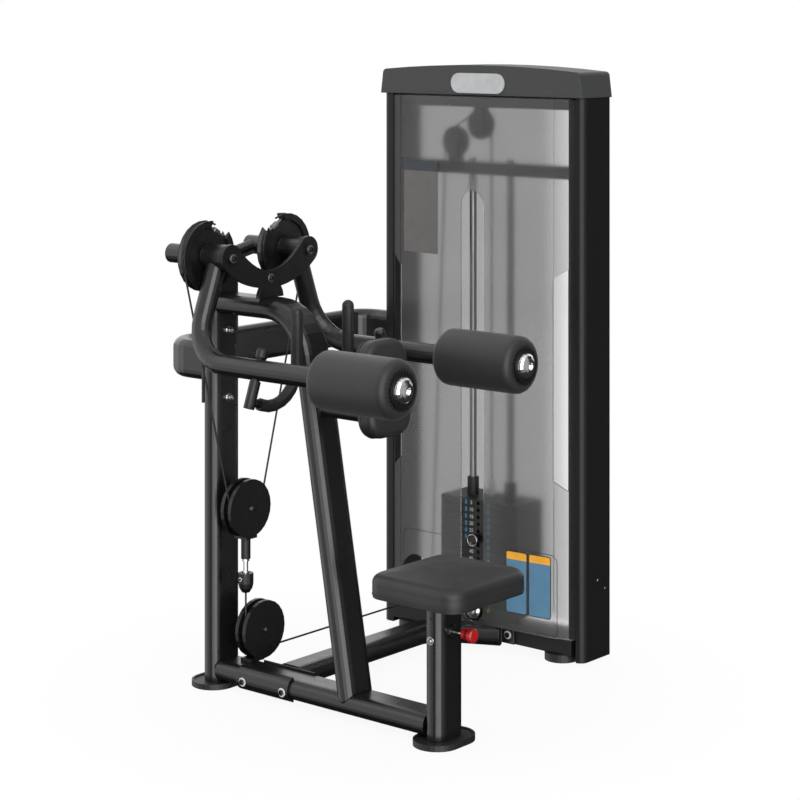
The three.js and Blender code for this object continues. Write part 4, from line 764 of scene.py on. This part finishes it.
def make_cables():
    starts, leaves = ARM_CABLE_STARTS, ARM_CABLE_LEAVES
    arm = cable("arm_cable_line", [
        *arc(at(CAM_X, PIVOT_Y, PIVOT_Z), Y, CAM_PITCH, starts, leaves, 24),
        *arc(at(CAM_X, 0, FLOAT_Z), Y, WHEEL_PITCH, leaves, -180 - leaves, 24),
        *arc(at(CAM_X, -PIVOT_Y, PIVOT_Z), Y, CAM_PITCH, 180 - leaves, 180 - starts, 24),
    ])
    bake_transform(arm)
    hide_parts("arm_cable")
    floor_wheel = at(CAM_X, 0, RUN_Z + WHEEL_PITCH)
    drop = cable("stack_cable_drop", [at(CAM_X, 0, CONNECTOR_FOOT), floor_wheel])
    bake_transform(drop)
    bottom_wheel = at(CAM_X, STACK_Y - SMALL_PITCH, RUN_Z + SMALL_PITCH)
    mid_wheel = at(MID_WHEEL_X, STACK_Y, MID_WHEEL_Z)
    top_wheel = at(STACK_X - SMALL_PITCH, STACK_Y, TOP_WHEEL_Z)
    run = cable("stack_cable_run", [
        *arc(at(CAM_X, WHEEL_PITCH, RUN_Z + WHEEL_PITCH), Y, WHEEL_PITCH, 180, 270, 16),
        *arc(bottom_wheel, Y, SMALL_PITCH, -90, 0, 12),
        *arc(mid_wheel, X, SMALL_PITCH, RISER_MEETS, RISER_LEAVES, 10),
        *arc(top_wheel, X, SMALL_PITCH, RISER_LEAVES, 0, 18),
    ])
    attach(run, "frame")
    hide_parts("stack_cable")
    stem = at(STACK_X, STACK_Y, STACK_TOP + STEM_TALL)
    fall = cable("stack_cable_fall", [at(STACK_X, STACK_Y, TOP_WHEEL_Z), stem])
    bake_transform(fall)


# Fasteners and small fittings: places as for at(), profiles as (radius, distance along)
RAIL_BOLTS = [(128, -56.0, 36), (262, -56.0, 36), (397, 681.4, 44)]
AXLE_END = 179.1
PIVOT_BOLTS = [(174.1, 0, 1041), (AXLE_END, -PIVOT_Y, PIVOT_Z), (AXLE_END, PIVOT_Y, PIVOT_Z)]
UPRIGHT_BOLT_HEIGHTS = (897, 726)
UPRIGHT_FRONT = 25.2
UPRIGHT_BACK = -31.4
HOUSING_BOLT = (728, -50.1, 246)
# Place and profile of a thin dark disc painted as the shade of a hole in the post.
HOLE_SHADE_PLACE = (728, -50.0, 297)
HOLE_SHADE_PROFILE = [(3.2, 0), (3.2, 0.3)]
TOWER_SCREWS = [(636.0, 756, 214), (636.0, 790, 187)]
SCREW_PROFILE = [(3.4, 0), (3.4, 0.8), (2.4, 1.5)]


def frame_bolts():
    bolts("frame_bolts", "frame", [(at(*place), -Y) for place in RAIL_BOLTS], ring="pale")
    bolts("pivot_bolts", "frame", [(at(*place), X) for place in PIVOT_BOLTS], ring="rod")
    places = [(at(UPRIGHT_FRONT, 0, z), X) for z in UPRIGHT_BOLT_HEIGHTS]
    bolts("upright_bolts", "frame", places, radius=8, height=11, washer=10, head="chrome")
    places = [(at(*HOUSING_BOLT), -Y)]
    bolts("housing_bolt", "frame", places, height=6, washer=10, head="zinc", ring="zinc")
    nuts = bmesh.new()
    for z in UPRIGHT_BOLT_HEIGHTS:
        add_nut(nuts, at(UPRIGHT_BACK, 0, z), -X)
    place_mesh("upright_nuts", nuts, "zinc", "frame")
    # A thin dark disc on the post's face: painted shade standing for a hole, which is not cut.
    hole_shade = bmesh.new()
    add_turned(hole_shade, at(*HOLE_SHADE_PLACE), -Y, HOLE_SHADE_PROFILE, 16)
    place_mesh("post_hole_shade", hole_shade, "dark", "frame")
    screws = bmesh.new()
    for place in TOWER_SCREWS:
        add_turned(screws, at(*place), X, SCREW_PROFILE, 16)
    place_mesh("tower_screws", screws, "zinc", "frame")


CHEEK_FACE = 17.6
CHEEK_SCREW = {"radius": 5, "height": 2.6, "washer": 7.5, "head": "zinc", "ring": "dark"}
CONNECTOR_FACE = (CAM_X, -19.2, 277)
CONNECTOR_SCREW = {"radius": 3.2, "height": 2.2, "washer": 5.5}


def pulley_screws():
    for name, body, centre in [
        ("floating", "pulley_yoke", at(CAM_X, 0, FLOAT_Z)),
        ("lower", "frame", at(CAM_X, WHEEL_PITCH, RUN_Z + WHEEL_PITCH)),
    ]:
        places = [(centre + X * sign * CHEEK_FACE / 1000, X * sign) for sign in (-1, 1)]
        bolts(f"{name}_pulley_screws", body, places, **CHEEK_SCREW)
    bolts("connector_screw", "pulley_yoke", [(at(*CONNECTOR_FACE), -Y)], **CONNECTOR_SCREW)


ANCHOR_TURN = math.radians(30)
ANCHOR_RISE = 67
ANCHOR_PIN = (-24, [(4.5, 0), (4.5, 48)])
ANCHOR_SLEEVE = (-13, [(6.6, 0), (8.2, 1.4), (8.2, 20.6), (6.6, 22)])
RIB_COUNT = 28
RIB_SECTION = [(-0.9, 43.4), (0.9, 43.4), (0.6, 49.0), (-0.6, 49.0)]
RIB_ENDS = (-0.5, 3.4)


def arm_fittings(side, sign):
    """The cam's cable anchor, and the ribs round the roller's end."""
    turn = Matrix.Rotation(sign * ANCHOR_TURN, 4, "X")
    centre = at(CAM_X, sign * PIVOT_Y, PIVOT_Z)
    anchor = bmesh.new()
    for y, profile in (ANCHOR_PIN, ANCHOR_SLEEVE):
        end = centre + turn @ Vector((0, y, ANCHOR_RISE)) / 1000
        add_turned(anchor, end, turn @ Y, profile, 20)
    place_mesh(f"{side}_cable_anchor", anchor, "rod", f"{side}_arm")
    ribs = bmesh.new()
    middle = at(ROLLER_END, sign * ARM_Y, ARM_Z)
    for k in range(RIB_COUNT):
        spin = Matrix.Rotation(2 * math.pi * k / RIB_COUNT, 4, "X")
        add_rings(ribs, [
            [middle + spin @ Vector((x, y, z)) / 1000 for y, z in RIB_SECTION] for x in RIB_ENDS
        ])
    place_mesh(f"{side}_roller_ribs", ribs, "rubber", f"{side}_arm")


# The front sheet: a shallow bow between its two bevels
SHEET_LEFT = 34.3
SHEET_WIDE = 522.4
SHEET_FACE = 668.5
SHEET_BOW = 12.5


def sheet_y(x):
    t = (x - SHEET_LEFT) / SHEET_WIDE
    return SHEET_FACE - SHEET_BOW * 4 * t * (1 - t)


def rounded_field(x0, x1, z0, z1, corners, steps=5):
    """Outline of a field with rounded corners: a radius for each, from the lower left round."""
    outline = []
    turns = [(x0, z0, 1, 1, 180), (x1, z0, -1, 1, 270), (x1, z1, -1, -1, 0), (x0, z1, 1, -1, 90)]
    for (x, z, sx, sz, start), radius in zip(turns, corners):
        reach = max(radius, 0.01)
        for k in range(steps + 1):
            turn = math.radians(start + 90 * k / steps)
            east, up = reach * math.cos(turn), reach * math.sin(turn)
            outline.append((x + sx * reach + east, z + sz * reach + up))
    return outline


def field(name, look, spans, corners, thick):
    """A thin label that follows the bow of the front sheet."""
    (x0, x1), (z0, z1) = spans
    outline = rounded_field(x0, x1, z0, z1, corners)
    mesh = bmesh.new()
    add_rings(mesh, [
        [at(x, sheet_y(x) - lift, z) for x, z in outline] for lift in (-0.05, thick)
    ])
    place_mesh(name, mesh, look, "frame", 20)


# How far each seal reaches inwards and outwards of the sheet's edge, and its two faces, in metres
SEALS = {"left": (0.007, 0.012), "right": (0.009, 0.014)}
SEAL_FACES = (0.002, 0.022)
SEAL_EDGE = 0.001


def panel_seals():
    """Dark strips that close the joints between the front sheet and the posts."""
    low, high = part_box("front_panel")
    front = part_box("right_tower_post")[0].y
    for name, x in (("left", low.x), ("right", high.x)):
        inner, outer = SEALS[name]
        start, end = sorted((x - SIDES[name] * inner, x + SIDES[name] * outer))
        foot = Vector((start, front + SEAL_FACES[0], low.z))
        head = Vector((end, front + SEAL_FACES[1], high.z))
        mesh = bmesh.new()
        add_box(mesh, foot, head)
        bmesh.ops.bevel(mesh, geom=mesh.edges[:], offset=SEAL_EDGE, segments=2, affect="EDGES")
        place_mesh(f"{name}_panel_seal", mesh, "tower", "frame")


# Boards and notices on the sheet: spans, heights, corners and thicknesses
BOARD_SPAN = (50, 175)
BOARD_LOW = 1046
BOARD_HEAD = 1270
BOARD_HIGH = 1298
BOARD_THICK = 1.5
NOTICES = {"left_notice": (409, 476), "right_notice": (481, 549)}
NOTICE_LOW = 113
NOTICE_HEAD = 255
NOTICE_HIGH = 277
NOTICE_RIM = 2
NOTICE_CORNER = 6
NOTICE_THICK = 0.5
FIELD_CORNER = 5
FIELD_THICK = 0.8
ACCESS_OUTLINE = (46, 568, 72, 283, (4, 4, 22, 22), 8)
ACCESS_LIFT = 0.2
ACCESS_RADIUS = 0.9


def make_boards():
    """Bare instruction boards in the places where the machine carries them."""
    square = (0,) * 4
    field("exercise_board", "board", (BOARD_SPAN, (BOARD_LOW, BOARD_HEAD)), square, BOARD_THICK)
    head = (BOARD_SPAN, (BOARD_HEAD, BOARD_HIGH))
    field("exercise_board_head", "board_head", head, square, BOARD_THICK)
    for name, (x0, x1) in NOTICES.items():
        inner = (x0 + NOTICE_RIM, x1 - NOTICE_RIM)
        low, high = NOTICE_LOW + NOTICE_RIM, NOTICE_HIGH - NOTICE_RIM
        outer = ((x0, x1), (NOTICE_LOW, NOTICE_HIGH))
        field(name, "dark", outer, (NOTICE_CORNER,) * 4, NOTICE_THICK)
        corners = (FIELD_CORNER, FIELD_CORNER, 0, 0)
        field(name + "_field", "blue", (inner, (low, NOTICE_HEAD)), corners, FIELD_THICK)
        corners = corners[::-1]
        field(name + "_head", "orange", (inner, (NOTICE_HEAD, high)), corners, FIELD_THICK)
    cord = bmesh.new()
    line = [at(x, sheet_y(x) - ACCESS_LIFT, z) for x, z in rounded_field(*ACCESS_OUTLINE)]
    add_cord(cord, spaced(line + line[:1])[:-1], ACCESS_RADIUS, closed=True)
    place_mesh("access_outline", cord, "dark", "frame", 60)


# Numbers and marks on the plates: the text in metres, the rest in millimetres
ROW_MIDDLE = 0.48
NUMBER_SIZE = 0.014
NUMBER_THICK = 0.0001
NUMBER_OFFSET = -23
NUMBER_LIFT = 0.1
KILOS_PER_PLATE = 5
LEFT_MARK = -41
RIGHT_MARK = 36
MARINE_ROWS = 8
MARK_HALF_WIDE = 3
MARK_HALF_TALL = 5.5
MARK_FACES = (-0.25, 0.4)


def add_number(row, z, body):
    text = bpy.data.curves.new(f"plate_number_{row}", "FONT")
    text.body = str(KILOS_PER_PLATE * (PLATE_COUNT - row))
    text.size = NUMBER_SIZE
    text.extrude = NUMBER_THICK
    text.align_x = "CENTER"
    text.align_y = "CENTER"
    text.materials.append(MATERIALS["pale"].data)
    piece = bpy.data.objects.new(f"plate_number_{row}", text)
    bpy.context.scene.collection.objects.link(piece)
    piece.location = at(STACK_X + NUMBER_OFFSET, STACK_FRONT - NUMBER_LIFT, z)
    piece.rotation_euler = (QUARTER, 0, 0)
    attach(piece, body)


def add_mark(mesh, offset, z):
    x = STACK_X + offset
    low = at(x - MARK_HALF_WIDE, STACK_FRONT + MARK_FACES[0], z - MARK_HALF_TALL)
    high = at(x + MARK_HALF_WIDE, STACK_FRONT + MARK_FACES[1], z + MARK_HALF_TALL)
    add_box(mesh, low, high)


def plate_numbers():
    """Plain numbers on the plates, and the coloured marks at both sides of the pin holes."""
    resting = {"marine": bmesh.new(), "yellow": bmesh.new()}
    lifted = bmesh.new()
    for row in range(PLATE_COUNT):
        from_top = PLATE_COUNT - row
        z = STACK_LOW + (row + ROW_MIDDLE) * PLATE_PITCH
        if from_top <= LIFTED_PLATES:
            add_number(row, z, "lifted_stack")
            add_mark(lifted, LEFT_MARK, z)
            add_mark(lifted, RIGHT_MARK, z)
        else:
            add_number(row, z, "frame")
            add_mark(resting["marine" if from_top <= MARINE_ROWS else "yellow"], RIGHT_MARK, z)
    place_mesh("plate_marks_marine", resting["marine"], "marine", "frame")
    place_mesh("lifted_marks_marine", lifted, "marine", "lifted_stack")
    place_mesh("plate_marks_yellow", resting["yellow"], "yellow", "frame")


LOOP_RADIUS = 15.5
LOOP_WIRE = 0.8
LOOP_AHEAD = 87.5
KNOB_AHEAD = 61.2
KNOB_PROFILE = [(9, 0), (9, 16), (23, 18), (25, 21), (24, 25), (20, 29), (13, 32.5), (6, 34)]


def pin_trim():
    """The wire loop on the selector pin, and the knob of the pin kept in the lowest plate."""
    loop = bmesh.new()
    pin_z = STACK_TOP - (LIFTED_PLATES - 0.5) * PLATE_PITCH
    middle = at(STACK_X, STACK_Y - LOOP_AHEAD, pin_z)
    add_cord(loop, circle(middle, X, Z, LOOP_RADIUS, 32), LOOP_WIRE, closed=True)
    place_mesh("pin_loop", loop, "chrome", "selector_pin", 60)
    knob = bmesh.new()
    place = at(STACK_X, STACK_Y - KNOB_AHEAD, STACK_LOW + PLATE_PITCH / 2)
    add_turned(knob, place, -Y, KNOB_PROFILE, 40)
    place_mesh("lower_pin_knob", knob, "chrome", "frame", 60)


# Studio
class World(NodeTree):
    """The light from each direction, built from soft windows in azimuth and height."""

    def __init__(self):
        super().__init__(bpy.data.worlds.new("studio"))
        direction = self.node("ShaderNodeTexCoord").outputs["Generated"]
        flat = self.node("ShaderNodeVectorMath", operation="MULTIPLY")
        flat.inputs[1].default_value = (1, 1, 0)
        self.link(direction, flat.inputs[0])
        level = self.node("ShaderNodeVectorMath", operation="NORMALIZE")
        self.link(flat.outputs["Vector"], level.inputs[0])
        self.level = level.outputs["Vector"]
        parts = self.node("ShaderNodeSeparateXYZ")
        self.link(direction, parts.inputs["Vector"])
        self.height = parts.outputs["Z"]

    def window(self, source, outside, inside):
        """Nothing at the first value, all at the second, and soft between them."""
        low, high = (0, 1) if outside < inside else (1, 0)
        start, end = sorted((outside, inside))
        return self.spread(source, start, end, low, high, interpolation_type="SMOOTHSTEP")

    def around(self, azimuth, outside, inside):
        """A window round an azimuth, with half its width given in degrees."""
        turn = math.radians(azimuth)
        dot = self.node("ShaderNodeVectorMath", operation="DOT_PRODUCT")
        dot.inputs[1].default_value = (math.cos(turn), math.sin(turn), 0)
        self.link(self.level, dot.inputs[0])
        edge, core = math.cos(math.radians(outside)), math.cos(math.radians(inside))
        return self.window(dot.outputs["Value"], edge, core)

    def between(self, light, *heights):
        """The light kept to heights, each given by its outside and inside values."""
        for outside, inside in heights:
            light = self.math("MULTIPLY", light, self.window(self.height, outside, inside))
        return light

    def finish(self, total):
        """White to the camera and through the sheets, and the total light to all else."""
        path = self.node("ShaderNodeLightPath").outputs
        seen = self.math("MAXIMUM", path["Is Camera Ray"], path["Is Transmission Ray"])
        unseen = self.math("SUBTRACT", 1, seen)
        strength = self.math("ADD", seen, self.math("MULTIPLY", unseen, total))
        background = self.tree.nodes["Background"]
        self.link(strength, background.inputs["Strength"])
        background.inputs["Color"].default_value = (1, 1, 1, 1)
        bpy.context.scene.world = self.data


# Light by direction: azimuth of its middle, half width outside and inside, then strength
WINDOWS = {
    "key": (-38, 36, 12, 3.4),
    "left": (-138, 58, 26, 0.85),
    "side": (180, 52, 30, 0.42),
    "front": (6, 44, 20, 0.38),
}
WALL_HEIGHTS = ((0.85, 0.6), (-0.6, -0.25))
BACK = (128, 60, 34, 1.25)
BACK_HEIGHTS = ((-0.02, 0.1), (0.7, 0.4))
TOP = 0.8
TOP_HEIGHT = (0.5, 0.8)
AMBIENT = 0.03
FLOOR_SIZE = 14


def make_studio():
    """White behind the machine, and soft light from before it, its left, behind and above."""
    bpy.context.scene.view_settings.view_transform = "Standard"
    world = World()
    walls = 0
    for azimuth, outside, inside, strength in WINDOWS.values():
        wall = world.math("MULTIPLY", world.around(azimuth, outside, inside), strength)
        walls = world.math("ADD", walls, wall)
    walls = world.between(walls, *WALL_HEIGHTS)
    roof = world.math("MULTIPLY", world.window(world.height, *TOP_HEIGHT), TOP)
    azimuth, outside, inside, strength = BACK
    glow = world.math("MULTIPLY", world.around(azimuth, outside, inside), strength)
    glow = world.between(glow, *BACK_HEIGHTS)
    total = world.math("ADD", world.math("ADD", walls, roof), world.math("ADD", glow, AMBIENT))
    world.finish(total)
    make_floor()


def make_floor():
    mesh = bmesh.new()
    bmesh.ops.create_grid(mesh, x_segments=1, y_segments=1, size=FLOOR_SIZE)
    floor = place_mesh("floor", mesh, "floor", None)
    floor.visible_glossy = False
    floor.visible_diffuse = False
    floor.visible_transmission = False


make_camera()
make_cables()
finish_nodes()
make_pads()
frame_bolts()
pulley_screws()
for side, sign in SIDES.items():
    make_roller(side, sign)
    arm_fittings(side, sign)
panel_seals()
make_boards()
plate_numbers()
pin_trim()
make_studio()
